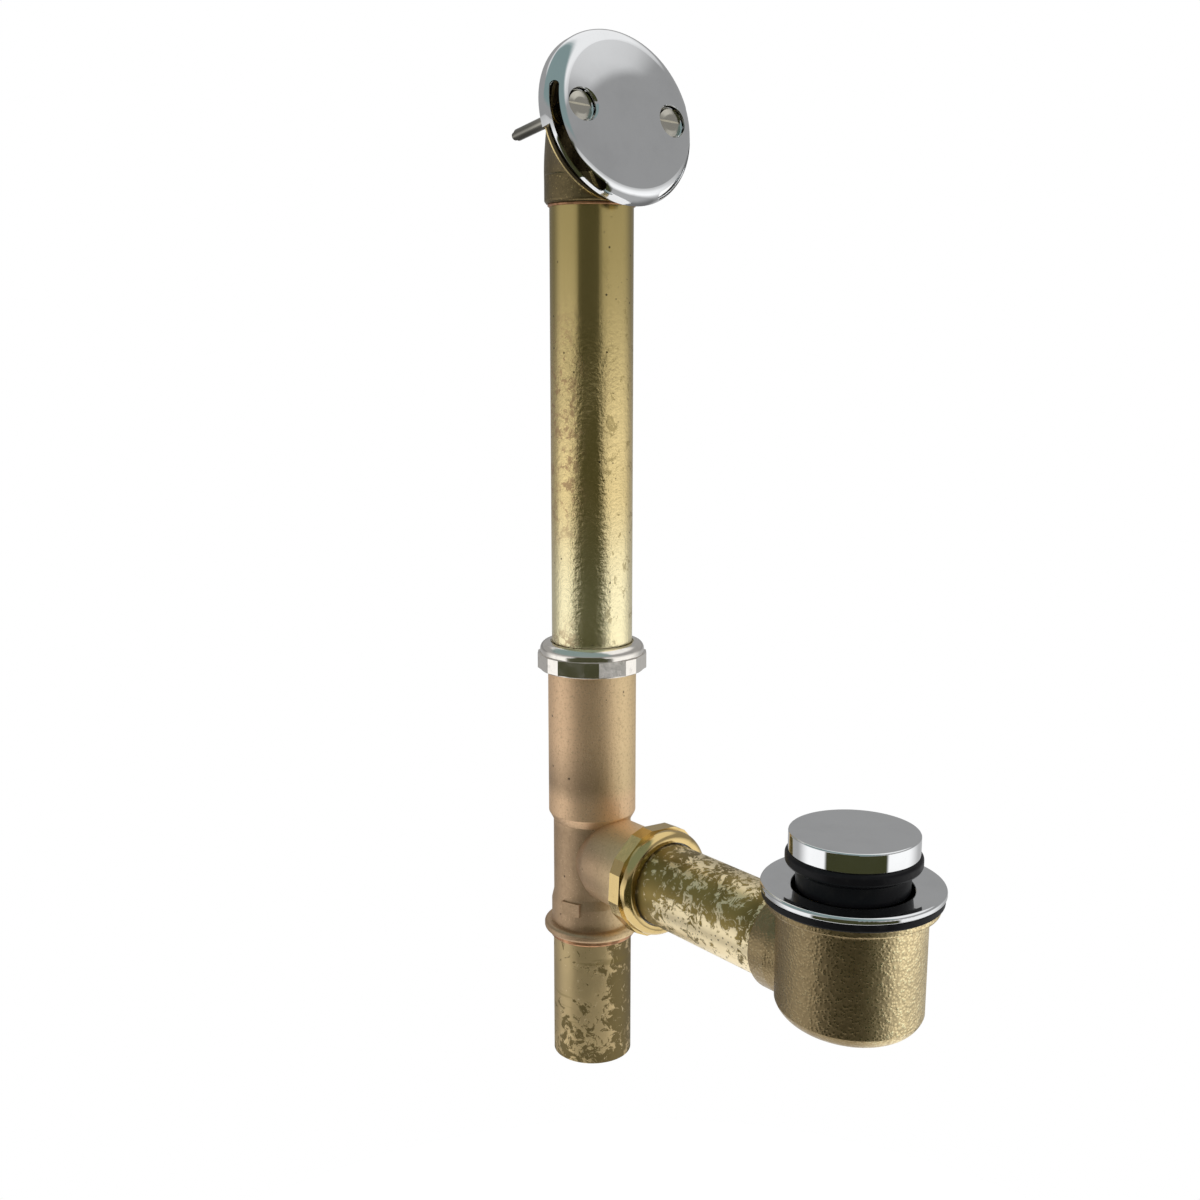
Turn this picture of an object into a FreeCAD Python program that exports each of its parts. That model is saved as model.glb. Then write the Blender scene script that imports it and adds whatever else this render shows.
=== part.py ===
"""Bath waste and overflow in brass, with a toe-touch stopper.

The frame is the waste's own: the origin is the centre of the tailpiece's lower end, +Z runs up the
overflow, and +X runs along the waste arm to the drain. All sizes are millimetres.
"""

import FreeCAD
import Part
import Sketcher
import math
import os

from FreeCAD import Placement, Rotation, Vector

DRIVING_SIZES = (
    ("tube_od", 38.1, "outside diameter of the brass tubes"),
    ("tube_wall", 1.1, "wall of the brass tubes"),
    ("slip_gap", 0.1, "radial clearance of a tube in its socket"),
    ("tail_exposed", 64.2, "tailpiece below the foot of the tee"),
    ("tail_seat", 4.0, "tailpiece inside the collar of the tee"),
    ("tail_step", 0.25, "how much the tailpiece's upper end is sized down"),
    ("braze_height", 2.7, "height of the brazing bead under the collar"),
    ("braze_reach", 1.7, "radial reach of the brazing bead"),
    ("collar_wall", 4.25, "collar of the tee outside its socket"),
    ("collar_height", 4.4, "height of the collar"),
    ("collar_round", 1.7, "edge radius of the collar"),
    ("hub_proud", 1.05, "lower hub of the tee outside the neck"),
    ("hub_top", 15.3, "top of the lower hub above the foot"),
    ("neck_start", 19.8, "start of the neck above the foot"),
    ("neck_wall", 2.35, "neck of the tee outside its waterway"),
    ("neck_end", 56.4, "end of the neck above the foot"),
    ("sleeve_start", 60.5, "start of the upper sleeve above the foot"),
    ("sleeve_wall", 1.85, "wall of the upper sleeve"),
    ("sleeve_top", 137.8, "top face of the sleeve above the foot"),
    ("tee_bore", 16.4, "radius of the waterway through the tee"),
    ("socket_cone", 2.7, "taper between a waterway and its socket"),
    ("branch_rise", 39.2, "axis of the arm above the foot of the tee"),
    ("branch_wall", 1.15, "wall of the side branch"),
    ("branch_root", 4.0, "start of the branch's flared root from the axis of the tee"),
    ("root_reach", 17.0, "end of the flared root"),
    ("root_wall", 4.65, "narrow end of the flared root inside the branch's wall"),
    ("branch_round", 7.0, "edge radius at the root of the branch"),
    ("branch_reach", 50.6, "end face of the branch from the axis of the tee"),
    ("root_fillet", 2.0, "casting fillet between neck and branch"),
    ("thread_proud", 1.3, "slip joint thread outside the upper sleeve"),
    ("thread_length", 7.2, "length of the slip joint thread"),
    ("thread_gap", 0.3, "radial clearance of a nut on its thread"),
    ("pad_width", 10.0, "cast pad on the lower hub"),
    ("pad_height", 6.5, "height of the cast pad"),
    ("pad_proud", 0.5, "how far the cast pad stands proud"),
    ("nut_height", 13.2, "height of a slip nut"),
    ("nut_wall", 3.4, "slip nut at its corners outside its thread"),
    ("nut_lip", 0.8, "plain lip under the flats"),
    ("nut_flats", 7.0, "height of the flats"),
    ("hood_wall", 2.1, "hood of the slip nut outside its thread"),
    ("hood_round", 3.6, "rounded shoulder of the hood"),
    ("nut_top", 2.0, "thickness of the hood's top"),
    ("nut_hole_gap", 0.85, "radial gap between tube and hood"),
    ("washer_height", 3.2, "slip joint washer"),
    ("ring_height", 1.2, "friction ring over the washer"),
    ("tube_entry", 44.0, "overflow tube inside the sleeve"),
    ("arm_entry", 22.0, "waste arm inside the branch"),
    ("bell_rise", 207.0, "foot of the overflow elbow above the sleeve's top face"),
    ("bell_wall", 2.15, "wall of the elbow's bell"),
    ("bell_height", 12.6, "height of the bell"),
    ("bell_round", 1.6, "edge radius of the bell's foot"),
    ("elbow_socket", 9.0, "depth of the tube in the elbow"),
    ("way_step", 0.95, "waterway through the bell inside the tube's bore"),
    ("bell_step", 0.8, "bell outside the body of the elbow"),
    ("elbow_wall", 2.6, "wall of the elbow casting"),
    ("solder_reach", 0.8, "radial reach of the solder bead under the bell"),
    ("solder_height", 1.2, "height of the solder bead under the bell"),
    ("solder_drop", 0.05, "solder bead under the foot of the bell"),
    ("mouth_radius", 34.3, "radius of the machined mouth"),
    ("mouth_rim", 2.6, "depth of the straight rim at the mouth"),
    ("rim_step", 0.4, "how far the machined rim stands proud of the casting"),
    ("mouth_front", 0.6, "lowest point of the mouth in front of the bell"),
    ("mouth_lift", 0.1, "lowest point of the mouth above the foot of the bell"),
    ("plate_tilt", 14.5, "tilt of the mouth and plate above level, degrees"),
    ("plate_roll", 4.0, "turn of the plate and its screws on the mouth, degrees"),
    ("lug_radius", 4.6, "screw lug inside the mouth"),
    ("lug_depth", 8.5, "depth of a screw lug"),
    ("lug_back", 1.0, "face of a screw lug behind the mouth"),
    ("screw_inset", 14.75, "axis of a face screw inside the plate's edge"),
    ("screw_tilt", 9.5, "tilt of the face screws above level, degrees"),
    ("screw_radius", 2.65, "shank of a face screw"),
    ("screw_gap", 0.15, "radial clearance of a face screw in its lug"),
    ("screw_play", 0.45, "radial play of a face screw in the plate"),
    ("head_gap", 0.68, "radial gap between a screw's head and its recess"),
    ("screw_length", 45.5, "length of a face screw under its head"),
    ("screw_tip", 2.2, "turned-down tip of a face screw"),
    ("screw_head", 6.0, "radius of a face screw's head"),
    ("screw_edge", 0.7, "plain edge of the head"),
    ("screw_dome", 0.7, "dome of the head"),
    ("screw_slot", 1.5, "width of the driver slot"),
    ("screw_slot_depth", 1.1, "depth of the driver slot"),
    ("plate_gap", 2.0, "gap between the plate and the mouth"),
    ("plate_radius", 39.4, "overflow plate"),
    ("plate_height", 12.5, "height of the plate"),
    ("plate_round", 8.0, "rounded shoulder of the plate"),
    ("plate_crown", 2.0, "crown of the plate's face"),
    ("plate_draft", 0.6, "draft of the plate's side"),
    ("plate_sheet", 1.6, "wall of the plate"),
    ("slot_width", 4.9, "side slot of the plate"),
    ("slot_place", 42.0, "slot's place on the shoulder, degrees from the side"),
    ("slot_upper", 11.5, "upper end of the slot above the plate's middle, degrees"),
    ("slot_lower", 64.0, "lower end of the slot below the plate's middle, degrees"),
    ("relief_depth", 5.0, "relief behind the lower half of the plate's side"),
    ("relief_start", 12.0, "start of the relief below the plate's middle, degrees"),
    ("recess_radius", 7.1, "screw recess in the plate"),
    ("recess_depth", 1.9, "straight part of the screw recess"),
    ("recess_cone", 3.6, "conical part of the screw recess"),
    ("boss_radius", 9.0, "screw boss behind the plate's face"),
    ("drain_reach", 168.0, "axis of the drain from the axis of the tee"),
    ("shoe_top", 30.6, "top face of the shoe above the axis of the arm"),
    ("shoe_radius", 30.2, "body of the shoe"),
    ("shoe_taper", 0.3, "taper of the shoe's body towards its floor"),
    ("shoe_drop", 19.7, "middle of the shoe's floor below the axis of the arm"),
    ("shoe_slope", 6.0, "slope of the shoe's floor, degrees"),
    ("shoe_round", 8.5, "edge radius of the shoe's floor"),
    ("shoe_floor", 2.6, "least thickness of the shoe's floor"),
    ("chamber_round", 3.0, "edge radius of the chamber's floor"),
    ("shoe_rim_radius", 34.6, "rim under the gasket"),
    ("shoe_rim_height", 3.2, "height of the rim"),
    ("shoe_hub_reach", 37.0, "mouth of the shoe's hub from the drain axis"),
    ("shoe_hub_radius", 21.6, "hub of the shoe at its mouth"),
    ("shoe_hub_root", 16.0, "radius at which the hub's root ends inside the body"),
    ("shoe_hub_seat", 9.0, "waste arm inside the hub"),
    ("shoe_bore", 16.4, "radius of the waterway through the hub"),
    ("gasket_height", 3.5, "drain gasket"),
    ("gasket_radius", 36.0, "drain gasket"),
    ("flange_height", 2.6, "drain flange"),
    ("flange_radius", 36.6, "drain flange"),
    ("flange_round", 1.2, "upper edge radius of the flange"),
    ("flange_dish", 1.1, "how far the flange dishes towards the throat"),
    ("throat_radius", 24.0, "throat of the drain"),
    ("throat_round", 1.8, "rounding from the flange into the throat"),
    ("throat_wall", 2.6, "wall of the threaded drain barrel"),
    ("drain_thread_gap", 0.2, "radial clearance of the barrel in the shoe"),
    ("barrel_length", 23.5, "drain barrel under the flange"),
    ("spoke_width", 4.0, "crossbars of the strainer"),
    ("spoke_height", 4.0, "height of the crossbars"),
    ("boss_outer", 8.0, "centre boss of the strainer"),
    ("boss_drop", 2.0, "centre boss under the crossbars"),
    ("boss_rise", 1.0, "centre boss above the crossbars"),
    ("post_radius", 4.0, "stem of the stopper post"),
    ("post_thread_gap", 0.1, "radial clearance of the post in its boss"),
    ("post_collar", 1.4, "collar of the post on the boss"),
    ("post_collar_radius", 6.6, "radius of that collar"),
    ("post_stem", 13.4, "stem between collar and head"),
    ("post_head", 6.0, "height of the post's head"),
    ("post_tail", 5.5, "post below the boss"),
    ("locknut_height", 4.0, "lock nut under the boss"),
    ("locknut_corner", 7.2, "lock nut across its corners, as a radius"),
    ("guide_radius", 10.0, "stopper barrel"),
    ("guide_bore", 7.5, "bore of the stopper barrel"),
    ("guide_length", 29.0, "length of the stopper barrel"),
    ("guide_ceiling", 2.5, "closed upper end of the stopper barrel"),
    ("running_gap", 0.05, "radial running clearance of the post's head"),
    ("stop_gap", 0.3, "clearance at the raised stop"),
    ("bush_height", 2.5, "retaining bush in the stopper barrel"),
    ("latch_height", 1.8, "latch ring on the bush"),
    ("latch_gap", 0.25, "clearances round the latch ring"),
    ("spring_wire", 1.2, "wire of the stopper spring"),
    ("spring_turns", 4.0, "turns of the stopper spring"),
    ("spring_radius", 5.6, "mean radius of the stopper spring"),
    ("cap_rise", 21.1, "top of the raised stopper above the flange"),
    ("cap_radius", 25.9, "stopper cap"),
    ("cap_height", 8.0, "height of the stopper cap"),
    ("cap_round", 0.7, "edge radius of the cap"),
    ("cap_socket", 4.9, "stopper barrel inside the cap"),
    ("seal_register", 2.4, "seal inside the cap"),
    ("register_radius", 21.8, "radius of that register"),
    ("seal_radius", 27.1, "bead of the stopper seal"),
    ("seal_lift", 6.0, "underside of the seal above the flange"),
    ("seal_cone", 2.3, "rise of the seal's underside to its edge"),
    ("seal_round", 1.9, "edge radius of the bead"),
    ("lip_radius", 22.7, "lower lip of the seal"),
    ("lip_length", 8.3, "length of the lower lip"),
    ("retainer_height", 3.0, "seal retainer"),
    ("retainer_radius", 17.4, "seal retainer"),
    ("soft_gap", 0.15, "clearance round the soft seal"),
    ("screwed_gap", 0.05, "radial clearance between screwed pieces"),
)

# Share of the turn from foot to mouth, and of the growth in depth and in width
ELBOW_SECTIONS = (
    (0.0, 0.0, 0.0),
    (0.5, 0.45, 0.03),
    (0.76, 0.72, 0.36),
    (1.0, 1.0, 1.0),
)
OVAL_EASE = 0.01
NUT_SIDES = 8
WIDE_FLAT = 30.0
NARROW_FLAT = 360.0 / NUT_SIDES - WIDE_FLAT
UPPER_NUT_SPIN = 6.9
ARM_NUT_SPIN = 19.3
PAD_TURN = -69.6
LOCKNUT_SIDES = 6
SHOE_PASSAGE = 0.7
SPOKES = 4
OVERRUN = 1.0
FULL_TURN = 360.0

document = FreeCAD.newDocument("BathWaste")
sheet = document.addObject("Spreadsheet::Sheet", "Dims")


class Size:
    """A size with its number and the sheet expression that gives it."""

    def __init__(self, value, text):
        self.value = value
        self.text = text

    def __add__(self, other):
        return combined(self, "+", other)

    def __radd__(self, other):
        return combined(other, "+", self)

    def __sub__(self, other):
        return combined(self, "-", other)

    def __rsub__(self, other):
        return combined(other, "-", self)

    def __mul__(self, other):
        return combined(self, "*", other)

    def __rmul__(self, other):
        return combined(other, "*", self)

    def __truediv__(self, other):
        return combined(self, "/", other)

    def __neg__(self):
        return combined(0.0, "-", self)


def as_size(item):
    """A plain number as a size."""
    if isinstance(item, Size):
        return item
    return Size(float(item), f"({float(item)!r})")


def combined(left, sign, right):
    """Two sizes joined by an arithmetic sign."""
    first = as_size(left)
    second = as_size(right)
    results = {
        "+": first.value + second.value,
        "-": first.value - second.value,
        "*": first.value * second.value,
        "/": first.value / second.value if second.value else 0.0,
    }
    return Size(results[sign], f"({first.text} {sign} {second.text})")


def cosine(angle):
    """The cosine of an angle in degrees."""
    size = as_size(angle)
    return Size(math.cos(math.radians(size.value)), f"cos({size.text})")


def sine(angle):
    """The sine of an angle in degrees."""
    size = as_size(angle)
    return Size(math.sin(math.radians(size.value)), f"sin({size.text})")


def tangent(angle):
    """The tangent of an angle in degrees."""
    size = as_size(angle)
    return Size(math.tan(math.radians(size.value)), f"tan({size.text})")


class Sizes:
    """The driving sizes by name."""


def fill_sheet():
    """Write each driving size to the sheet and return them by name."""
    named = Sizes()
    for row, (alias, value, meaning) in enumerate(DRIVING_SIZES, start=1):
        sheet.set(f"A{row}", alias)
        sheet.set(f"B{row}", str(value))
        sheet.setAlias(f"B{row}", alias)
        sheet.set(f"C{row}", meaning)
        setattr(named, alias, Size(float(value), f"Dims.{alias}"))
    document.recompute()
    return named


d = fill_sheet()
ZERO = as_size(0.0)

# Heights, reaches and radii that several pieces share
tube_radius = d.tube_od / 2
tube_bore = tube_radius - d.tube_wall
socket_radius = tube_radius + d.slip_gap
tail_radius = tube_radius - d.tail_step
tail_socket = tail_radius + d.slip_gap
collar_radius = socket_radius + d.collar_wall
neck_radius = d.tee_bore + d.neck_wall
hub_radius = neck_radius + d.hub_proud
sleeve_radius = socket_radius + d.sleeve_wall
branch_radius = socket_radius + d.branch_wall
thread_radius = sleeve_radius + d.thread_proud
nut_thread = thread_radius + d.thread_gap
arm_height = d.tail_exposed + d.branch_rise
sleeve_face = d.tail_exposed + d.sleeve_top
nut_seat = d.washer_height + d.ring_height
bell_foot = sleeve_face + d.bell_rise
bell_radius = socket_radius + d.bell_wall
elbow_radius = bell_radius - d.bell_step
mouth_low_x = bell_radius + d.mouth_front
mouth_low_z = bell_foot + d.mouth_lift
mouth_reach = mouth_low_x - d.mouth_radius * sine(d.plate_tilt)
mouth_height = mouth_low_z + d.mouth_radius * cosine(d.plate_tilt)
plate_turn = 90 - d.plate_tilt
plate_reach = mouth_reach + d.plate_gap * cosine(d.plate_tilt)
plate_centre = mouth_height + d.plate_gap * sine(d.plate_tilt)
screw_offset = d.plate_radius - d.screw_inset
screw_turn = 90 - d.screw_tilt
recess_face = d.plate_height - d.plate_crown * 0.7
recess_foot = recess_face - d.recess_depth - d.recess_cone
recess_hole = d.screw_radius + d.screw_play
recess_slope = (d.recess_radius - recess_hole) / d.recess_cone
head_seat = recess_foot + (d.screw_head + d.head_gap - recess_hole) / recess_slope
shoe_face = arm_height + d.shoe_top
flange_foot = shoe_face + d.gasket_height
flange_top = flange_foot + d.flange_height
barrel_radius = d.throat_radius + d.throat_wall
chamber_radius = barrel_radius + d.drain_thread_gap
barrel_foot = flange_foot - d.barrel_length
boss_top = barrel_foot + d.spoke_height + d.boss_rise
boss_foot = barrel_foot - d.boss_drop
post_head_foot = boss_top + d.post_collar + d.post_stem
post_head_radius = d.guide_bore - d.running_gap
cap_top = flange_top + d.cap_rise
cap_foot = cap_top - d.cap_height
guide_top = cap_foot + d.cap_socket
guide_foot = guide_top - d.guide_length
seal_underside = flange_top + d.seal_lift
lip_foot = seal_underside - d.lip_length
bush_top = guide_foot + d.bush_height
nut_cavity = d.nut_height - d.nut_top


def bind(item, path, size):
    """Drive one property by a size's expression."""
    item.setExpression(path, as_size(size).text)


def new_body(label):
    """An empty body whose label names the piece."""
    body = document.addObject("PartDesign::Body", label)
    body.Label = label
    return body


def origin_plane(body, role):
    """The body's own origin plane with this role."""
    for item in body.Origin.OriginFeatures:
        if item.Role == role:
            return item
    raise ValueError(f"{body.Label} has no {role}")


def seat(item, x=ZERO, y=ZERO, z=ZERO, turn=ZERO, roll=ZERO, prefix="Placement"):
    """Place an object at bound coordinates, turned about Y after a roll about its own Z."""
    spots = (as_size(x), as_size(y), as_size(z))
    angle = as_size(turn)
    spin = Rotation(Vector(0, 1, 0), angle.value) * Rotation(Vector(0, 0, -1), roll.value)
    setattr(item, prefix, Placement(Vector(*(spot.value for spot in spots)), spin))
    for letter, spot in zip("xyz", spots):
        bind(item, f"{prefix}.Base.{letter}", spot)
    if roll.value:
        turned_y = f"rotation(vector(0; 1; 0); {angle.text})"
        item.setExpression(f"{prefix}.Rotation",
                           f"{turned_y} * rotation(vector(0; 0; -1); {roll.text})")
    elif angle.value:
        bind(item, f"{prefix}.Rotation.Angle", angle)


def attached(body, kind, label, role, x=ZERO, y=ZERO, z=ZERO, turn=ZERO):
    """A sketch or primitive on one of the body's origin planes."""
    item = body.newObject(kind, label)
    item.AttachmentSupport = [(origin_plane(body, role), "")]
    item.MapMode = "FlatFace"
    seat(item, x, y, z, turn, prefix="AttachmentOffset")
    return item


def settle(body, feature, removes):
    """Recompute, and make sure that the feature added or removed material."""
    copied = getattr(feature, "Originals", [])
    base = copied[-1] if copied else feature.BaseFeature
    before = base.Shape.Volume if base else 0.0
    body.Tip = feature
    document.recompute()
    change = feature.Shape.Volume - before
    if (removes and change > -1e-3) or (not removes and change < 1e-3):
        raise RuntimeError(f"{body.Label}: {feature.Label} changed nothing")
    return feature


def corner_reach(spots, index, radius):
    """How far along its sides a rounded corner's arc begins."""
    here = spots[index]
    behind = spots[index - 1] - here
    ahead = spots[(index + 1) % len(spots)] - here
    half = behind.getAngle(ahead) / 2
    reach = radius / math.tan(half)
    return behind.normalize() * reach, ahead.normalize() * reach, radius / math.sin(half)


def outline(body, label, corners, role="XZ_Plane", **offset):
    """A closed sketch; each corner is (across, up) or (across, up, edge radius)."""
    sketch = attached(body, "Sketcher::SketchObject", label, role, **offset)
    count = len(corners)
    across = [as_size(corner[0]) for corner in corners]
    along = [as_size(corner[1]) for corner in corners]
    rounds = [as_size(corner[2]) if len(corner) > 2 else ZERO for corner in corners]
    spots = [Vector(a.value, b.value, 0) for a, b in zip(across, along)]
    arrive = list(spots)
    leave = list(spots)
    centres = list(spots)
    for index in range(count):
        if rounds[index].value:
            behind, ahead, depth = corner_reach(spots, index, rounds[index].value)
            arrive[index] = spots[index] + behind
            leave[index] = spots[index] + ahead
            middle = (behind + ahead).normalize()
            centres[index] = spots[index] + middle * depth
    for index in range(count):
        sketch.addGeometry(Part.LineSegment(leave[index], arrive[(index + 1) % count]))
    rules = []
    bound = []
    for index in range(count):
        side = (index - 1) % count
        held = index
        if rounds[index].value:
            arc, start, end = add_corner_arc(sketch, arrive[index], leave[index], centres[index])
            held = sketch.addGeometry(Part.Point(spots[index]), True)
            rules.append(Sketcher.Constraint("PointOnObject", held, 1, side))
            rules.append(Sketcher.Constraint("PointOnObject", held, 1, index))
            rules.append(Sketcher.Constraint("Tangent", side, 2, arc, start))
            rules.append(Sketcher.Constraint("Tangent", index, 1, arc, end))
            bound.append((len(rules), rounds[index]))
            rules.append(Sketcher.Constraint("Radius", arc, rounds[index].value))
        else:
            rules.append(Sketcher.Constraint("Coincident", side, 2, index, 1))
        bound.append((len(rules), across[index]))
        rules.append(Sketcher.Constraint("DistanceX", -1, 1, held, 1, across[index].value))
        bound.append((len(rules), along[index]))
        rules.append(Sketcher.Constraint("DistanceY", -1, 1, held, 1, along[index].value))
    sketch.addConstraint(rules)
    for number, size in bound:
        sketch.setExpression(f"Constraints[{number}]", size.text)
    return sketch


def add_corner_arc(sketch, arrive, leave, centre):
    """Add a corner's arc, and say which of its ends meets which side."""
    first = arrive - centre
    last = leave - centre
    start_angle = math.atan2(first.y, first.x)
    end_angle = math.atan2(last.y, last.x)
    turns_left = first.cross(last).z > 0
    circle = Part.Circle(centre, Vector(0, 0, 1), first.Length)
    if turns_left:
        arc = sketch.addGeometry(Part.ArcOfCircle(circle, start_angle, end_angle))
        return arc, 1, 2
    arc = sketch.addGeometry(Part.ArcOfCircle(circle, end_angle, start_angle))
    return arc, 2, 1


def turned(body, label, corners, axis="V_Axis", cut=False, **offset):
    """Turn an outline about a sketch axis, to add or to cut."""
    sketch = outline(body, f"{label}_sketch", corners, **offset)
    kind = "PartDesign::Groove" if cut else "PartDesign::Revolution"
    feature = body.newObject(kind, label)
    feature.Profile = sketch
    feature.ReferenceAxis = (sketch, [axis])
    feature.Angle = FULL_TURN
    return settle(body, feature, cut)


def padded(body, label, corners, length, role="XY_Plane", **offset):
    """Pad an outline by a bound length."""
    sketch = outline(body, f"{label}_sketch", corners, role, **offset)
    feature = body.newObject("PartDesign::Pad", label)
    feature.Profile = sketch
    bind(feature, "Length", length)
    return settle(body, feature, False)


def tube(label, length, **place):
    """A drawn brass tube with its lower edge just broken."""
    body = new_body(label)
    broken = d.tube_wall / 3
    turned(body, f"{label}_wall", [
        (tube_bore, ZERO),
        (tube_radius, ZERO, broken),
        (tube_radius, length, broken),
        (tube_bore, length),
    ])
    seat(body, **place)
    return body


def tailpiece():
    """The tailpiece: a drawn tube, sized down where it enters the collar of the tee."""
    body = new_body("tailpiece")
    broken = d.tube_wall / 3
    step = d.tail_exposed - d.braze_height - d.slip_gap
    length = d.tail_exposed + d.tail_seat
    turned(body, "tailpiece_wall", [
        (tube_bore, ZERO),
        (tube_radius, ZERO, broken),
        (tube_radius, step),
        (tail_radius, step),
        (tail_radius, length, broken),
        (tube_bore, length),
    ])
    return body


def ring(label, inner, outer, foot, head, edge, **place):
    """A plain ring with rounded outer edges."""
    body = new_body(label)
    turned(body, f"{label}_ring", [
        (inner, foot),
        (outer, foot, edge),
        (outer, head, edge),
        (inner, head),
    ])
    seat(body, **place)
    return body


def polar(radius, degrees):
    """A corner at an angle round the axis."""
    return radius * cosine(degrees), radius * sine(degrees)


def slip_nut(label, spin, **place):
    """A slip joint nut: alternate wide and narrow flats under a rounded hood."""
    body = new_body(label)
    pitch = WIDE_FLAT + NARROW_FLAT
    corners = []
    for index in range(NUT_SIDES):
        start = spin + index * pitch
        corners.append(polar(nut_thread + d.nut_wall, start - NARROW_FLAT / 2))
        corners.append(polar(nut_thread + d.nut_wall, start + NARROW_FLAT / 2))
    padded(body, f"{label}_flats", corners, d.nut_flats, z=d.nut_lip)
    turned(body, f"{label}_hood", [
        (ZERO, ZERO),
        (nut_thread + d.hood_wall, ZERO, d.nut_lip / 2),
        (nut_thread + d.hood_wall, d.nut_height, d.hood_round),
        (ZERO, d.nut_height),
    ])
    hole = tube_radius + d.nut_hole_gap
    turned(body, f"{label}_bore", [
        (ZERO, -OVERRUN),
        (nut_thread, -OVERRUN),
        (nut_thread, nut_cavity),
        (hole, nut_cavity),
        (hole, d.nut_height + OVERRUN),
        (ZERO, d.nut_height + OVERRUN),
    ], cut=True)
    seat(body, **place)
    return body


def slip_joint(prefix, spin, face_x, face_z, turn):
    """Nut, friction ring and washer against one threaded end of the tee."""
    along = face_x if turn.value else face_z

    def place(offset):
        if turn.value:
            return {"x": along + offset, "z": arm_height, "turn": turn}
        return {"z": along + offset}

    nut_foot = nut_seat - nut_cavity
    slip_nut(f"{prefix}_slip_nut", spin, **place(nut_foot))
    edge = d.ring_height / 4
    ring(f"{prefix}_slip_washer", socket_radius, thread_radius, ZERO, d.washer_height, edge,
         **place(ZERO))
    ring(f"{prefix}_friction_ring", socket_radius, thread_radius, ZERO, d.ring_height, edge,
         **place(d.washer_height))


def run_outline():
    """Half section of the tee's upright run."""
    foot = d.tail_exposed
    top = sleeve_face
    thread_start = top - d.thread_length
    break_edge = d.thread_gap
    return [
        (ZERO, foot),
        (collar_radius, foot, d.collar_round),
        (collar_radius, foot + d.collar_height, d.collar_round),
        (hub_radius, foot + d.collar_height),
        (hub_radius, foot + d.hub_top, d.root_fillet),
        (neck_radius, foot + d.neck_start, d.root_fillet),
        (neck_radius, foot + d.neck_end, d.root_fillet / 2),
        (sleeve_radius, foot + d.sleeve_start, d.root_fillet / 2),
        (sleeve_radius, thread_start),
        (thread_radius, thread_start, break_edge),
        (thread_radius, top, break_edge),
        (ZERO, top),
    ]


def waste_tee():
    """The cast tee: tail collar, neck, upper sleeve and side branch."""
    body = new_body("waste_tee")
    foot = d.tail_exposed
    top = sleeve_face
    turned(body, "tee_run", run_outline())
    branch_thread = d.branch_reach - d.thread_length
    turned(body, "tee_branch", [
        (d.branch_root, ZERO),
        (d.branch_root, socket_radius - d.root_wall),
        (d.root_reach, branch_radius, d.branch_round),
        (branch_thread, branch_radius),
        (branch_thread, thread_radius, d.thread_gap),
        (d.branch_reach, thread_radius, d.thread_gap),
        (d.branch_reach, ZERO),
    ], axis="H_Axis", y=arm_height)
    cast_pad(body)
    socket_floor = foot + d.sleeve_start
    turned(body, "tee_run_bore", [
        (ZERO, foot - OVERRUN),
        (tail_socket, foot - OVERRUN),
        (tail_socket, foot + d.tail_seat),
        (d.tee_bore, foot + d.tail_seat),
        (d.tee_bore, socket_floor),
        (socket_radius, socket_floor + d.socket_cone),
        (socket_radius, top + OVERRUN),
        (ZERO, top + OVERRUN),
    ], cut=True)
    arm_end = d.branch_reach - d.arm_entry
    turned(body, "tee_branch_bore", [
        (ZERO, ZERO),
        (ZERO, d.tee_bore),
        (arm_end - d.socket_cone * 2, d.tee_bore),
        (arm_end - d.socket_cone, socket_radius),
        (d.branch_reach + OVERRUN, socket_radius),
        (d.branch_reach + OVERRUN, ZERO),
    ], axis="H_Axis", cut=True, y=arm_height)
    return body


def cast_pad(body):
    """The small rectangular pad cast on the lower hub."""
    half = d.pad_width / 2
    middle = d.tail_exposed + d.hub_top
    reach = hub_radius + d.pad_proud
    sketch = outline(body, "tee_pad_sketch", [
        (ZERO, -half),
        (reach, -half, d.pad_proud / 2),
        (reach, half, d.pad_proud / 2),
        (ZERO, half),
    ], "XY_Plane", z=middle - d.pad_height / 2)
    turn = Rotation(Vector(0, 0, 1), PAD_TURN)
    offset = sketch.AttachmentOffset
    sketch.AttachmentOffset = Placement(offset.Base, turn)
    bind(sketch, "AttachmentOffset.Base.z", middle - d.pad_height / 2)
    feature = body.newObject("PartDesign::Pad", "tee_pad")
    feature.Profile = sketch
    bind(feature, "Length", d.pad_height)
    settle(body, feature, False)


def fused(label, shapes):
    """Join several solids."""
    join = document.addObject("Part::MultiFuse", label)
    join.Shapes = shapes
    return join


def cut_from(label, base, tool):
    """Cut one solid from another."""
    cut = document.addObject("Part::Cut", label)
    cut.Base = base
    cut.Tool = tool
    return cut


def cylinder(label, radius, length, **place):
    """A bound cylinder."""
    item = document.addObject("Part::Cylinder", label)
    bind(item, "Radius", radius)
    bind(item, "Height", length)
    seat(item, **place)
    return item


def oval(label, long_half, short_half, **place):
    """A bound ellipse whose long axis lies in the elbow's plane of symmetry."""
    item = document.addObject("Part::Ellipse", label)
    bind(item, "MajorRadius", long_half)
    bind(item, "MinorRadius", short_half)
    seat(item, **place)
    return item


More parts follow.
